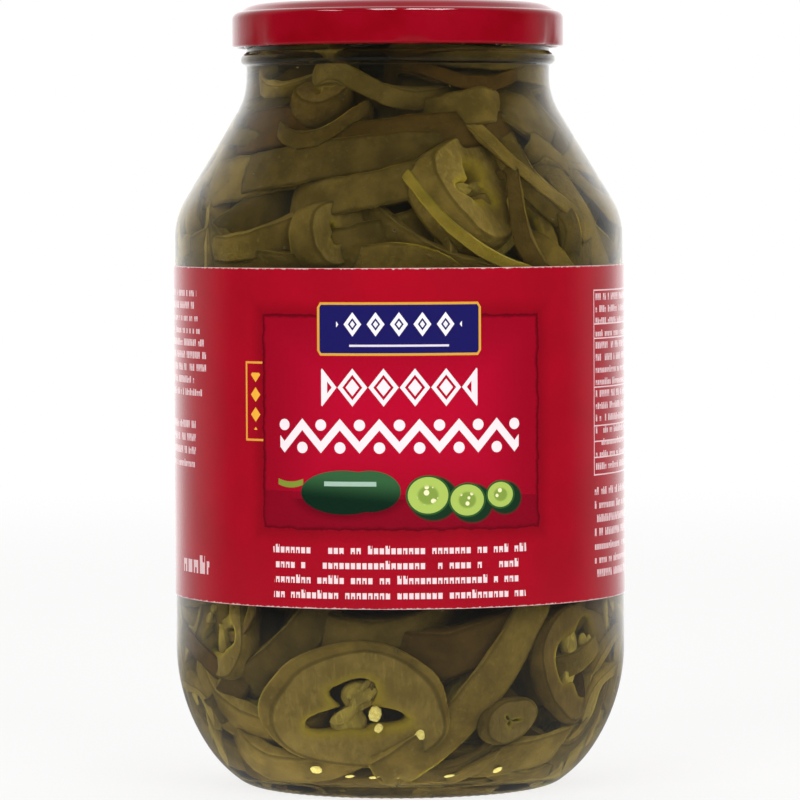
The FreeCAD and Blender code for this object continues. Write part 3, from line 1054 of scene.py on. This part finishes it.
def scatter_tree(name):
    """Points with a turn, a stretch and a kind become real meshes of those kinds."""
    tree = bpy.data.node_groups.new(name, "GeometryNodeTree")
    add_socket(tree, "Geometry", "Geometry")
    kinds = add_socket(tree, "Kinds", "Collection")
    size = add_socket(tree, "Size", "Float")
    finish = add_socket(tree, "Finish", "Material")
    add_socket(tree, "Geometry", "Geometry", "OUTPUT")
    given = tree.nodes.new("NodeGroupInput")
    result = tree.nodes.new("NodeGroupOutput")
    pick = tree.nodes.new("GeometryNodeCollectionInfo")
    pick.inputs["Separate Children"].default_value = True
    pick.inputs["Reset Children"].default_value = True
    turn = tree.nodes.new("FunctionNodeEulerToRotation")
    grow = tree.nodes.new("ShaderNodeVectorMath")
    grow.operation = "SCALE"
    instance = tree.nodes.new("GeometryNodeInstanceOnPoints")
    instance.inputs["Pick Instance"].default_value = True
    real = tree.nodes.new("GeometryNodeRealizeInstances")
    paint_on = tree.nodes.new("GeometryNodeSetMaterial")
    link = tree.links.new
    link(given.outputs["Kinds"], pick.inputs["Collection"])
    link(stored(tree, "turn", "FLOAT_VECTOR"), turn.inputs[0])
    link(given.outputs["Geometry"], instance.inputs["Points"])
    link(pick.outputs[0], instance.inputs["Instance"])
    link(stored(tree, "kind", "INT"), instance.inputs["Instance Index"])
    link(turn.outputs[0], instance.inputs["Rotation"])
    link(stored(tree, "stretch", "FLOAT_VECTOR"), grow.inputs[0])
    link(given.outputs["Size"], grow.inputs["Scale"])
    link(grow.outputs[0], instance.inputs["Scale"])
    link(instance.outputs["Instances"], real.inputs["Geometry"])
    link(real.outputs["Geometry"], paint_on.inputs["Geometry"])
    link(given.outputs["Finish"], paint_on.inputs["Material"])
    link(paint_on.outputs["Geometry"], result.inputs[0])
    return tree, kinds, size, finish


SCATTER, KINDS_INPUT, SIZE_INPUT, FINISH_INPUT = scatter_tree("set_kinds_at_points")
print("scatter tree:", len(SCATTER.nodes), "nodes")

# %% Run the tree on a list of spots
Spot = namedtuple("Spot", "centre turned kind stretch tint")


def scatter(name, spots, kinds, finish, size=1.0):
    """One plain mesh, with a kind at each spot."""
    points = bpy.data.meshes.new(name + "_points")
    points.from_pydata([tuple(spot.centre / 1000) for spot in spots], [], [])
    turns = [tuple(Matrix(spot.turned).to_euler()) for spot in spots]
    add_layer(points, "turn", "FLOAT_VECTOR", "vector", turns)
    add_layer(points, "stretch", "FLOAT_VECTOR", "vector", [spot.stretch for spot in spots])
    add_layer(points, "kind", "INT", "value", [spot.kind for spot in spots])
    add_layer(points, "tint", "FLOAT", "value", [spot.tint for spot in spots])
    seedbed = add_object(name + "_points", points)
    modifier = seedbed.modifiers.new("scatter", "NODES")
    modifier.node_group = SCATTER
    modifier[KINDS_INPUT] = kinds
    modifier[SIZE_INPUT] = size
    modifier[FINISH_INPUT] = finish
    evaluated = seedbed.evaluated_get(bpy.context.evaluated_depsgraph_get())
    mesh = bpy.data.meshes.new_from_object(evaluated)
    mesh.name = name
    seedbed.modifiers.remove(modifier)
    bpy.data.objects.remove(seedbed)
    return add_object(name, mesh)


print("a spot has:", Spot._fields)

# %% [markdown]
# ## Finishes of the chilli
# Pickled skin is dull olive with fine dark flecks and pale scars. Under it the flesh is olive too,
# streaked outwards from the cavity, and turns yellow where it thins at the cavity's lip. Each slice
# has its own tint, from green to brown, because the fruit in a jar is never even. The same tint also
# carries painted light: slices far round the sides are painted paler, as if lit more.

# %% Finish of the slices
UNEVEN = {"data_type": "RGBA", "blend_type": "MULTIPLY"}
CHILLI_BENDS = 1.12  # against brine, not air


def chilli_finish():
    chilli = new_finish("pickled_chilli")
    where = chilli.place()
    deep = chilli.read("deep")
    tint = chilli.read("tint")
    cloud = chilli.noise(where, 9.0, 3.0, 0.6)
    fine = chilli.noise(where, 1.3, 4.0, 0.7)
    streak = chilli.noise(chilli.place((1, 1, 0.25)), 1.6, 2.0, 0.6, 0.6)
    skin = chilli.mix(cloud.step(0.3, 0.7), paint(88, 72, 34), paint(114, 94, 48))
    skin = chilli.mix(fine.step(0.56, 0.72) * 0.5, skin, paint(132, 113, 72))
    flesh = chilli.mix(cloud.step(0.35, 0.7), paint(108, 90, 47), paint(128, 107, 60))
    flesh = chilli.mix(streak.step(0.45, 0.75) * 0.55, flesh, paint(142, 121, 69))
    flesh = chilli.mix(deep.step(0.62, 1.0) * 0.75, flesh, paint(150, 131, 44))
    colour = chilli.mix(deep.step(0.06, 0.12), skin, flesh)
    rim = deep.step(0.0, 0.04) * (1 - deep.step(0.07, 0.13))
    colour = chilli.mix(rim * 0.5, colour, paint(58, 48, 18))
    colour = chilli.mix(tint.step(1.0, 2.0), colour, paint(186, 166, 44))
    warm = chilli.mix(tint.step(0.0, 0.35), paint(214, 160, 104), WHITE)
    # paleness from the tint: random tone for most slices, and painted light for those at the sides,
    # which get a high tint
    shade = chilli.mix(tint.step(0.3, 1.0), paint(196, 196, 186), paint(255, 255, 232))
    for stain in (warm, shade):
        colour = chilli.node("ShaderNodeMix", UNEVEN, {0: 1.0, 6: colour, 7: stain}, 2)
    more = {"Normal": chilli.bump(fine + cloud * 2, 0.0004), "Subsurface Weight": 0.5}
    more.update({"Subsurface Radius": (1.0, 0.8, 0.25), "Subsurface Scale": 0.004})
    return chilli.surface(colour, 0.45, CHILLI_BENDS, more)


CHILLI = chilli_finish()
print("finish:", CHILLI.name)


# %% Finishes of the ribs and the seeds
def pith_finish():
    pith = new_finish("pale_pith")
    thread = pith.noise(pith.place((1.0, 1.0, 0.4)), 1.8, 3.0, 0.6, 0.8)
    cloud = pith.noise(pith.place(), 7.0, 2.0)
    colour = pith.mix(cloud.step(0.35, 0.65), paint(112, 96, 46), paint(140, 122, 56))
    colour = pith.mix(thread.step(0.5, 0.75) * 0.7, colour, paint(164, 147, 70))
    return pith.surface(colour, 0.5, CHILLI_BENDS, {"Normal": pith.bump(thread, 0.0006)})


def seed_finish():
    seed = new_finish("cream_seed")
    mottle = seed.noise(seed.place(), 0.9, 3.0, 0.6)
    colour = seed.mix(mottle.step(0.35, 0.7), paint(226, 210, 130), paint(204, 182, 98))
    colour = seed.mix(seed.read("tint").step(0.55, 0.95), colour, paint(150, 104, 52))
    return seed.surface(colour, 0.5, CHILLI_BENDS)


PITH = pith_finish()
SEED = seed_finish()
print("finishes:", PITH.name, SEED.name)

# %% Set out the slices
# painted light: slices at the sides are painted paler, because little lamp light reaches them
SIDE_REACH = 40
SIDE_FRONT = -14
tints = np.random.default_rng(11).uniform(0.12, 1.0, len(packed))
for number, tint in HERO_TINTS.items():
    tints[number] = tint
groups = {}
spots = []
for placed, tint in zip(packed, tints):
    x, y, z = placed.centre
    if abs(x) > SIDE_REACH and y > SIDE_FRONT:
        tint = 0.7 + 0.5 * tint
    spots.append(Spot(placed.centre, placed.turned, placed.kind, placed.stretch, tint))
    level = "upper" if z > (LABEL_LOW + LABEL_TOP) / 2 else "lower"
    side = "front" if y < 0 else "left" if x < 0 else "right"
    groups.setdefault(f"chilli_slices_{level}_{side}", []).append(spots[-1])
for name, group in sorted(groups.items()):
    slices = scatter(name, group, slice_kinds, CHILLI)
    keep_inside(slices)
    belongs(slices, "brine")

# %% Set ribs in the slices near the wall
RIBS_BEYOND = 48
# azimuth, height, gap, lean, kind, stretch of ribs that lie loose against the glass
LOOSE_RIBS = [
    (-13, 29.5, 1.2, 22, 3, (0.72, 0.34, 0.5)), (-11.5, 33.5, 1.4, 55, 4, (0.5, 0.26, 0.4)),
    (58, 47, 1.2, 80, 1, (0.4, 0.24, 0.4)), (-60, 56, 1.2, 20, 3, (0.3, 0.24, 0.4)),
]
rib_spots = [spot for spot in spots if math.hypot(*spot.centre[:2]) > RIBS_BEYOND]
for azimuth, height, depth, lean, kind, stretch in LOOSE_RIBS:
    rib_spots.append(Spot(*lay(azimuth, height, depth + 2.5, lean, 0, 8), kind, stretch, 0.5))
pith = scatter("chilli_ribs", rib_spots, pith_kinds, PITH)
keep_inside(pith, 0.6)
belongs(pith, "brine")

# %% [markdown]
# ## Seeds
# Seeds are flat, round and slightly kidney-shaped, 4 to 5 mm across. Most hang in the cavities near
# the ribs, and some lie loose against the glass or have sunk to the floor.

# %% Shape the seeds
SEED_STEPS = 10
SEED_RADIUS = 2.2
SEED_HALF = 0.55


def shape_seed(rng):
    """A flat round seed with a small beak."""
    points = [(0, 0, SEED_HALF)]
    for level, share in ((0.42, 0.62), (0.0, 1.0), (-0.42, 0.62)):
        for angle in round_steps(SEED_STEPS):
            reach = SEED_RADIUS * share * (1 + 0.14 * math.cos(angle) + 0.05 * rng.normal())
            points.append((reach * math.cos(angle), reach * 0.84 * math.sin(angle), level))
    points.append((0, 0, -SEED_HALF))
    quads = grid_quads(3, SEED_STEPS) + 1
    faces = [(0, a, b) for a, b in quads[0, :, :2].tolist()] + as_faces(quads[:-1], True)
    faces += [(len(points) - 1, b, a) for a, b in quads[-1, :, :2].tolist()]
    return points, faces


seed_kinds = bpy.data.collections.new("seed_kinds")
for number in range(3):
    add_kind(seed_kinds, f"seed_kind_{number}", *shape_seed(np.random.default_rng(70 + number)))

# %% Sow the seeds
# azimuth, height, depth inside the wall, lean of the seed, size
FRONT_SEEDS = [
    (5.9, 21.5, 0.9, 30, 1.2), (2.8, 16.4, 0.9, 40, 0.8), (-7.0, 27.6, 1.0, 75, 1.1),
    (-6.2, 23.4, 1.0, 60, 0.7), (54.4, 26.8, 0.9, 78, 1.0), (58.6, 25.8, 0.9, 62, 1.05),
    (-28.0, 10.0, 1.0, 5, 0.9), (32.0, 9.5, 1.0, 10, 0.7), (-17.0, 7.8, 1.2, 0, 0.75),
    (-9.0, 7.6, 1.2, 0, 0.8), (-2.0, 7.6, 1.1, 0, 0.7), (15.5, 8.0, 1.0, 0, 0.8),
]
LOOSE_SEEDS = 30
# levels at which loose seeds rest: on the floor, above it, and above the label
RESTING = [(7.5, 9.5), (7.5, 9.0), (10, 50), (165, 215)]
seed_spots = []
for azimuth, height, depth, lean, size in FRONT_SEEDS:
    seed_spots.append(Spot(*lay(azimuth, height, depth, lean, 8, -6), 0, (size,) * 3, 0.2))
sow = np.random.default_rng(19)
for placed in packed:
    hangs = placed.kind != TIP and placed.centre[1] >= -20
    for _ in range(int(sow.integers(0, 3)) if hangs else 0):
        swing = sow.uniform(0, FULL_TURN)
        reach = sow.uniform(5, 10)
        x = reach * placed.stretch[0] * math.cos(swing)
        y = reach * placed.stretch[1] * math.sin(swing)
        inside = np.array([x, y, sow.uniform(-3, 3)])
        roll = Matrix.Rotation(sow.uniform(0, 6.3), 3, "X")
        tumble = np.array(roll @ Matrix.Rotation(sow.uniform(0, 6.3), 3, "Y"))
        size = sow.uniform(0.75, 1.05)
        centre = placed.centre + placed.turned @ inside
        spot = Spot(centre, placed.turned @ tumble, int(sow.integers(3)), (size,) * 3, sow.random())
        seed_spots.append(spot)
for _ in range(LOOSE_SEEDS):
    azimuth = sow.uniform(105, 255)
    height = sow.choice([sow.uniform(*levels) for levels in RESTING])
    lean = sow.uniform(0, 180)
    where = lay(azimuth, height, 1.1, lean, sow.normal(0, 12), sow.normal(0, 12))
    size = sow.uniform(0.7, 1.0)
    seed_spots.append(Spot(*where, int(sow.integers(3)), (size,) * 3, sow.random()))
seeds = scatter("chilli_seeds", seed_spots, seed_kinds, SEED)
keep_inside(seeds, 0.3)
belongs(seeds, "brine")

# %% [markdown]
# ## Core and bubbles
# Behind the slices that can be seen, a lumpy dark core stands for the rest of them. A few air
# bubbles, half a millimetre to a millimetre wide, cling to the glass.

# %% Fill the middle
CORE_LOW = FLOOR_LOW + 12
CORE_GAP = 23


def lump_core(radius, height, angle):
    wave = np.cos(5 * angle + height * 0.11) + np.cos(9 * angle - height * 0.23)
    wave = wave + np.sin(height * 0.45 + 3 * angle)
    return radius + 0.9 * wave * (radius > 5), height


def core_finish():
    core = new_finish("dark_depth")
    cloud = core.noise(core.place(), 11.0, 3.0, 0.6)
    colour = core.mix(cloud.step(0.35, 0.7), paint(84, 70, 34), paint(116, 98, 54))
    return core.surface(colour, 0.7, 1.1)


core_points = [(0, CORE_LOW)]
for height in np.arange(CORE_LOW, FILL - 12, 4.0):
    core_points.append((float(wall_at(height)) - CORE_GAP, float(height)))
core_points.append((0, FILL - 13))
core = turn_on_lathe("chilli_core", core_points, 72, core_finish(), lump_core)
belongs(core, "brine")

# %% Set the bubbles, and light what is sunk
FRONT_BUBBLES = [
    (-21.5, 214), (-21.6, 212.4), (-30.5, 168), (-1.0, 173), (-49, 43), (-33, 41), (31, 26), (-1, 47),
]


def bubble_finish():
    bubble = new_finish("air_bubble")
    colour = bubble.mix(bubble.noise(bubble.place(), 0.5), (0.9, 0.92, 0.86, 1), (1, 1, 0.96, 1))
    return bubble.surface(colour, 0.08, 1.5, {"Metallic": 1.0})


ball = bmesh.new()
bmesh.ops.create_icosphere(ball, subdivisions=2, radius=0.0005)
ball_mesh = bpy.data.meshes.new("bubble_kind")
ball.to_mesh(ball_mesh)
ball.free()
ball_mesh.polygons.foreach_set("use_smooth", [True] * len(ball_mesh.polygons))
bubble_kinds = bpy.data.collections.new("bubble_kinds")
bubble_kinds.objects.link(bpy.data.objects.new("bubble_kind", ball_mesh))
bubble_rng = np.random.default_rng(5)
places = list(FRONT_BUBBLES)
for _ in range(40):
    height = bubble_rng.choice([bubble_rng.uniform(9, 62), bubble_rng.uniform(160, 228)])
    places.append((bubble_rng.uniform(40, 320), height))
bubble_spots = []
for azimuth, height in places:
    size = bubble_rng.uniform(0.5, 1.1)
    bubble_spots.append(Spot(*lay(azimuth, height, 0.75), 0, (size,) * 3, 0.5))
bubbles = scatter("brine_bubbles", bubble_spots, bubble_kinds, bubble_finish())
belongs(bubbles, "brine")
for folder in (slice_kinds, pith_kinds, seed_kinds, bubble_kinds):
    bpy.data.collections.remove(folder)
sunk = [piece for piece in bpy.context.scene.objects if piece.name.startswith(("chilli", "brine_body"))]
light_only(edge_lamps, "sunk_pieces", sunk)


# %% [markdown]
# ## Lid
# The lid is drawn from one disc of tinplate: a rolled edge, a short skirt, a rounded shoulder, a
# raised ring over the sealing compound and a sunk panel with a low step. Its outline is drawn twice,
# a sheet's thickness apart, and turned as one closed wall. Where each of the six lugs is pressed in,
# the rolled edge is pinched and the skirt above it has a shallow dent.

# %% Press the lid
SHEET = 0.24
CURL = 0.975
CURL_HEIGHT = LID_LOW + CURL
SKIRT = 7.8
PANEL_STEP = 31


def draw_lid(aside):
    """From the rolled edge up the skirt and in to the centre."""
    roll = math.radians(-300)
    start = (LID_RADIUS - CURL + CURL * math.cos(roll), CURL_HEIGHT + CURL * math.sin(roll))
    pen = Outline(*start, -210, aside)
    pen.bend(CURL, 300, 15)
    pen.ahead(SKIRT, 8)
    pen.bend(2.3, 81, 9)
    pen.bend(1.0, 90 - 81 - 34, 9)
    pen.ahead(1.5)
    pen.bend(9.4, 34, 4)
    pen.bend(2.0, 55, 9)
    pen.bend(1.6, -55, 9)
    pen.ahead(pen.radius - PANEL_STEP, 2)
    pen.bend(1.0, -35, 12)
    pen.bend(1.0, 35, 12)
    pen.ahead(pen.radius, 6)
    return pen


def pinch_lugs(radius, height, angle):
    """Pinches the rolled edge and dents the skirt at each lug."""
    outer = np.clip((radius - LID_RADIUS + 3.2) / 2.0, 0, 1)
    low = np.clip((CURL_HEIGHT + 8.5 - height) / 8.5, 0, 1)
    edge = np.clip((CURL_HEIGHT + 1.6 - height) / 2.4, 0, 1)
    for lug in LUGS:
        away = away_from(lug, angle)
        dent = 0.32 * np.exp(-((away / 3.4) ** 4)) * low**0.6
        pinch = 0.5 * np.exp(-((away / 7.0) ** 4)) * edge
        radius = radius - outer * (dent + pinch)
    return radius, height


def enamel_finish():
    enamel = new_finish("red_enamel")
    where = enamel.place()
    haze = enamel.noise(where, 14.0, 2.0)
    peel = enamel.noise(where, 2.2, 1.0)
    dust = enamel.noise(where, 0.35, 2.0, 0.6).step(0.7, 0.78)
    colour = enamel.mix(haze.step(0.3, 0.7), paint(130, 2, 17), paint(142, 3, 25))
    colour = enamel.mix(dust * 0.25, colour, paint(190, 70, 70))
    return enamel.surface(colour, haze * 0.05 + 0.05, 1.5, {"Normal": enamel.bump(peel, 0.00002)})


ENAMEL = enamel_finish()
lid_outline = draw_lid(SHEET).points[::-1] + draw_lid(0.0).points
lid_shell = turn_on_lathe("lid_shell", lid_outline, 300, ENAMEL, pinch_lugs)
belongs(lid_shell, "lid")

# %% [markdown]
# ## Lugs
# The six lugs are short tongues of the rolled edge, folded in under the glass thread. They are equal
# and stand in a ring, so one tongue is modelled and a Geometry Nodes tree repeats it.

# %% Repeat the lug round the lid
LUG_STEPS = 24
LUG_HALF = 6.2
# level in the lug's thickness, and how far its rounded edge is drawn in there
LUG_EDGE = [(0.0, 0.3), (0.12, 0.08), (0.5, 0.0), (0.88, 0.08), (1.0, 0.3)]


def shape_lug():
    """A flat lens in plan with rounded edges, at azimuth 0."""
    reach = NECK_RADIUS + 0.45
    edge = LID_RADIUS - CURL
    points = []
    for level, inset in LUG_EDGE:
        for turn in round_steps(LUG_STEPS):
            sweep = (LUG_HALF - inset) * math.sin(turn)
            across = (edge - reach) / 2 - inset
            out = (edge + reach) / 2 + across * math.cos(turn) - (sweep * sweep) / (2 * edge) * 0.5
            points.append((out, sweep, LID_LOW + level))
    last = len(points)
    faces = as_faces(grid_quads(len(LUG_EDGE), LUG_STEPS)[:-1])
    return points, faces + [tuple(range(LUG_STEPS))[::-1], tuple(range(last - LUG_STEPS, last))]


lug_kinds = bpy.data.collections.new("lug_kinds")
add_kind(lug_kinds, "lug_kind", *shape_lug())
lug_turns = [np.array(Matrix.Rotation(lug, 3, "Z")) for lug in LUGS]
lug_spots = [Spot(np.zeros(3), turned, 0, (1, 1, 1), 0.5) for turned in lug_turns]
lid_lugs = scatter("lid_lugs", lug_spots, lug_kinds, ENAMEL)
bpy.data.collections.remove(lug_kinds)
belongs(lid_lugs, "lid")
light_only(strips, "lid_pieces", [lid_shell, lid_lugs])

# %% [markdown]
# ## Sealing compound
# A soft grey-white ring of plastisol fills the channel under the lid. Its CAD solid has the right
# shape, so it stays and only gets its finish.

# %% Finish the compound
def compound_finish():
    compound = new_finish("sealing_compound")
    cloud = compound.noise(compound.place(), 3.0, 3.0, 0.6)
    colour = compound.mix(cloud.step(0.3, 0.7), paint(206, 200, 188), paint(222, 218, 208))
    return compound.surface(colour, cloud * 0.15 + 0.45, 1.5, {"Normal": compound.bump(cloud, 0.00008)})


seal = frame["nodes"]["seal"]
seal.material_slots[0].material = compound_finish()
print("compound finished on", seal.name)

# %% [markdown]
# ## Label
# A band of coated paper goes right round the jar and is glued where its ends overlap at the back. It
# is a thin closed sleeve, turned like the glass but with its own UV map, so that the print can be
# laid out flat: across in millimetres from the front's middle, and up from the lower edge.

# %% Wrap the paper
PAPER_IN = 0.03
PAPER_OUT = 0.18
LABEL_STEPS = 288
LAP = 0.2
LAP_SHARE = 0.0097


def wrap_label():
    height = LABEL_TOP - LABEL_LOW
    outer = [(BODY + PAPER_OUT, level) for level in np.linspace(0, 1, 13)]
    loop = [(BODY - PAPER_IN, 0.0)] + outer + [(BODY - PAPER_IN, 1.0)]
    points = []
    marks = []
    for radius, level in loop:
        for share in np.arange(LABEL_STEPS + 1) / LABEL_STEPS:
            lapped = radius > BODY and min(share, 1 - share) < LAP_SHARE
            reach = radius + (LAP if lapped else 0.0)
            turn = math.radians(90 + 360 * share)
            points.append((reach * math.cos(turn), reach * math.sin(turn), LABEL_LOW + height * level))
            marks.append((share, level))
    quads = grid_quads(len(loop), LABEL_STEPS + 1)[:, :-1]
    mesh = smooth_mesh("label_sleeve", (np.array(points) / 1000).tolist(), as_faces(quads))
    print_map = mesh.uv_layers.new(name="print")
    for corner, loop_corner in enumerate(mesh.loops):
        print_map.data[corner].uv = marks[loop_corner.vertex_index]
    net = bmesh.new()
    net.from_mesh(mesh)
    bmesh.ops.remove_doubles(net, verts=net.verts, dist=1e-6)
    net.to_mesh(mesh)
    net.free()
    mesh.set_sharp_from_angle(angle=math.radians(40))
    return add_object("label_sleeve", mesh)


label_sleeve = wrap_label()
print("label:", len(label_sleeve.data.vertices), "points")

# %% [markdown]
# ## Print
# The print is drawn from plain shapes in shader sums: a red ground, a darker torn-edged panel, a navy
# banner, rows of white ornament, green chilli rings, gold outlines, a table, and blocks of small marks
# that stand for fine print without being letters. The paper is satin, and its cut edge is white.
# Each colour is laid over the ones before it, as on a printing press.

# %% Shapes that the print is made of
label = new_finish("printed_paper")
flat_x, flat_y, _ = label.split(label.node("ShaderNodeUVMap", {"uv_map": "print"}))
x = (flat_x - 0.5) * (2 * math.pi * BODY)
y = flat_y * (LABEL_TOP - LABEL_LOW)
where = label.place()
fibre = label.noise(where, 1.1, 4.0, 0.65)
cloud = label.noise(where, 16.0, 3.0, 0.5)
PALE_INK = paint(240, 228, 232)
GOLD_INK = paint(214, 160, 60)
RULE_INK = paint(232, 196, 200)


def box(left, right, low, high):
    """How far inside a rectangle a place is, in millimetres."""
    wide = (right - left) / 2 - abs(x - (left + right) / 2)
    return wide.smaller((high - low) / 2 - abs(y - (low + high) / 2))


def disc(middle_x, middle_y, radius, wide=1.0):
    """How far inside a disc, drawn wide, a place is."""
    across = (x - middle_x) / wide
    up = y - middle_y
    return radius - (across * across + up * up).root()


def band(shape, low, high):
    """1 where a shape is between two depths."""
    return (shape > low) * (shape < high)


def ink(mask, tone):
    """Lays a colour over the print."""
    global colour
    colour = label.mix(mask, colour, tone)


def random_in(cell_x, cell_y):
    """A number from 0 to 1 that is the same all over a cell."""
    pair = label.node("ShaderNodeCombineXYZ", None, {0: cell_x, 1: cell_y})
    return label.node("ShaderNodeTexWhiteNoise", {"noise_dimensions": "2D"}, {0: pair})


def small_print(left, right, low, high, pitch, line, seed, ragged):
    """Lines of small marks of uneven width."""
    place_x = (x - left) / pitch
    place_y = (y - low) / line
    cell_x = place_x.floor()
    cell_y = place_y.floor()
    in_x = place_x - cell_x
    in_y = place_y - cell_y
    chance = random_in(cell_x + seed, cell_y)
    length = random_in(cell_y + seed, 3.5)
    mark = (chance > 0.17) * band(in_x, 0.1, 0.84) * band(in_y, 0.2, 0.76)
    notch = (abs(in_x - 0.3 - chance * 0.35) < 0.13) * ((in_y - 0.5) * (chance - 0.6) > 0.02)
    short = (in_y > 0.6) * (length.repeat(0.1) * 20 + chance < 1.0)
    ends = (x > left) * (x + length * ragged < right) * band(y, low, high)
    return mark * (1 - notch) * (1 - short) * ends


print("label:", len(label.tree.nodes), "nodes")

# %% Print the ground and the torn panel
torn = (label.noise(where, 5.0, 5.0, 0.65) - 0.5) * 2.6
colour = label.mix(cloud.step(0.3, 0.7), paint(166, 3, 30), paint(157, 4, 28))
edge = box(-44, 45, 23.5, 88.5) + torn
ink(edge.step(-5.0, 0.3) * 0.55, paint(120, 2, 20))
inside = label.mix((edge + abs(x) * 0.02).step(0, 30), paint(150, 2, 30), paint(180, 2, 42))
ink(edge.step(0.0, 0.25), inside)
ink(edge.step(0.0, 0.3) * (1 - edge.step(0.5, 1.6)) * 0.8, paint(84, 0, 12))
ink((y + torn * 0.3 + x * 0.02 < 34.5) * edge.step(0.4, 0.9) * 0.55, paint(112, 2, 26))
print("ground and panel:", len(label.tree.nodes), "nodes")

# %% Print the banner and the rows of ornament
banner = box(-25.0, 25.0, 76.0, 92.0).smaller(29.0 - abs(x) - abs(y - 84.0) * 0.62)
ink(banner > 0, GOLD_INK)
ink(banner > 0.75, paint(28, 24, 92))
diamonds = (3.1 - abs(x).repeat(7.0) * 1.15 - abs(y - 85.4) * 0.85).smaller(19.0 - abs(x))
ink((diamonds > 0) * (1 - band(diamonds, 1.5, 2.2)), paint(236, 232, 236))
ink((0.32 - abs(y - 79.0)).smaller(15.0 - abs(x)) > 0, paint(222, 214, 226))
crown = (5.7 - abs(y - 66.5) - (x + 4.7).repeat(9.4) * 1.25).smaller(23.8 - abs(x))
ink((crown > 0) * (1 - band(crown, 1.9, 3.1)), PALE_INK)
ribbon = (1.75 - abs(y - 48.5 - x.repeat(12.0) * 1.15)).smaller(37.5 - abs(x))
ink(ribbon > 0, PALE_INK)
dots = []
for shift, level in ((0.0, 55.2), (6.0, 48.4)):
    beside = (x + shift).repeat(12.0)
    dots.append(beside * beside + (y - level) * (y - level) < 2.9)
ink(dots[0].larger(dots[1]) * (abs(x) < 38.5), PALE_INK)
print("banner and ornament:", len(label.tree.nodes), "nodes")

# %% Print the chilli and three cut rings
fruit = disc(-17.0, 35.0, 6.6, 2.05).larger(disc(-9.0, 35.4, 6.2, 1.5))
ink(fruit.step(-2.6, 0.0) * (y < 33.0) * 0.5, paint(70, 0, 14))
along = x + 34.0
ink((0.9 - abs(y - 37.2 - along * along * 0.05)).smaller(4.2 - abs(along)) > 0, paint(126, 144, 52))
skin = label.mix((y + x * 0.08).step(31, 39), paint(12, 40, 26), paint(52, 96, 58))
skin = label.mix((abs(y - 37.6) < 0.7) * (abs(x + 15) < 8) * 0.8, skin, paint(178, 206, 190))
ink(fruit > 0, skin)
pips = label.node("ShaderNodeTexVoronoi", None, {"Vector": where, "Scale": 0.42})
for ring_x, ring_y, size in ((8.5, 34.2, 6.0), (20.5, 32.6, 5.2), (31.2, 34.0, 4.3)):
    ring = disc(ring_x, ring_y, size, 1.12)
    shadow = disc(ring_x + 1.6, ring_y - 1.0, size + 0.4, 1.12)
    hole = ring.step(size * 0.45, size * 0.62)
    ink(shadow.step(-0.8, 0.2), paint(22, 52, 32))
    ink(ring > 0, paint(46, 88, 44))
    ink(ring > 0.55, paint(170, 194, 92))
    ink(hole * 0.8, paint(118, 146, 58))
    ink(hole * (pips < 0.36), paint(240, 236, 190))
print("chilli and rings:", len(label.tree.nodes), "nodes")

# %% Print the small marks, the tag, the table and the bars
lines = small_print(-43, 43, 2.2, 20.2, 1.75, 4.5, 3, 0.0)
ink(lines * (abs(x) < 37 + cloud * 6), paint(238, 214, 218))
ink(band(box(-50.5, -41.5, 50.0, 74.0), 0, 0.65) * (edge < 0.0), paint(226, 160, 62))
heat = 2.0 - abs(x + 46.6) * 1.1 - abs((y + 2.0).repeat(6.0)) * 0.9
ink((heat > 0) * (abs(y - 62.0) < 8.6), paint(240, 176, 60))
ink(band(box(70.5, 132.0, 38.0, 94.8), 0, 0.4), RULE_INK)
for line in (84.3, 79.9, 65.0, 53.2, 48.4, 43.5):
    ink((abs(y - line) < 0.2) * (abs(x - 101.2) < 30.7), RULE_INK)
# left, right, low, high, width of a mark, height of a line, seed, how ragged the right side is
BLOCKS = [
    (71.6, 131.0, 39.0, 94.0, 1.25, 3.7, 11, 18.0), (70.8, 130.0, 6.0, 35.4, 1.4, 4.2, 17, 20.0),
    (-128.0, -69.0, 62.0, 95.0, 1.3, 3.8, 23, 9.0), (-128.0, -70.0, 40.0, 56.0, 1.3, 4.0, 29, 9.0),
    (-88.0, -68.5, 6.4, 16.4, 4.4, 10.0, 37, 0.0), (145.0, 205.0, 10.0, 92.0, 1.5, 4.1, 41, 16.0),
    (-205.0, -140.0, 46.0, 92.0, 1.4, 4.0, 43, 14.0),
]
for block in BLOCKS:
    ink(small_print(*block) * 0.9, paint(232, 200, 204))
patch = box(-200, -152, 10, 38)
ink(patch > 0, paint(236, 232, 228))
ink((patch > 3.0) * (random_in((x / 0.55).floor(), 9.5) > 0.5), paint(30, 26, 30))
print("small marks:", len(label.tree.nodes), "nodes")

# %% Wear the cut edge and finish the paper
rim = y.smaller(LABEL_TOP - LABEL_LOW - y)
worn = 1 - (rim - (fibre - 0.42).larger(0) * 1.6).step(0.0, 0.22)
ink(worn * 0.7, paint(226, 206, 204))
paper = label.surface(colour, fibre * 0.08 + 0.1, 1.5, {"Normal": label.bump(fibre, 0.00003)})
label_sleeve.data.materials.append(paper)
belongs(label_sleeve, "label")
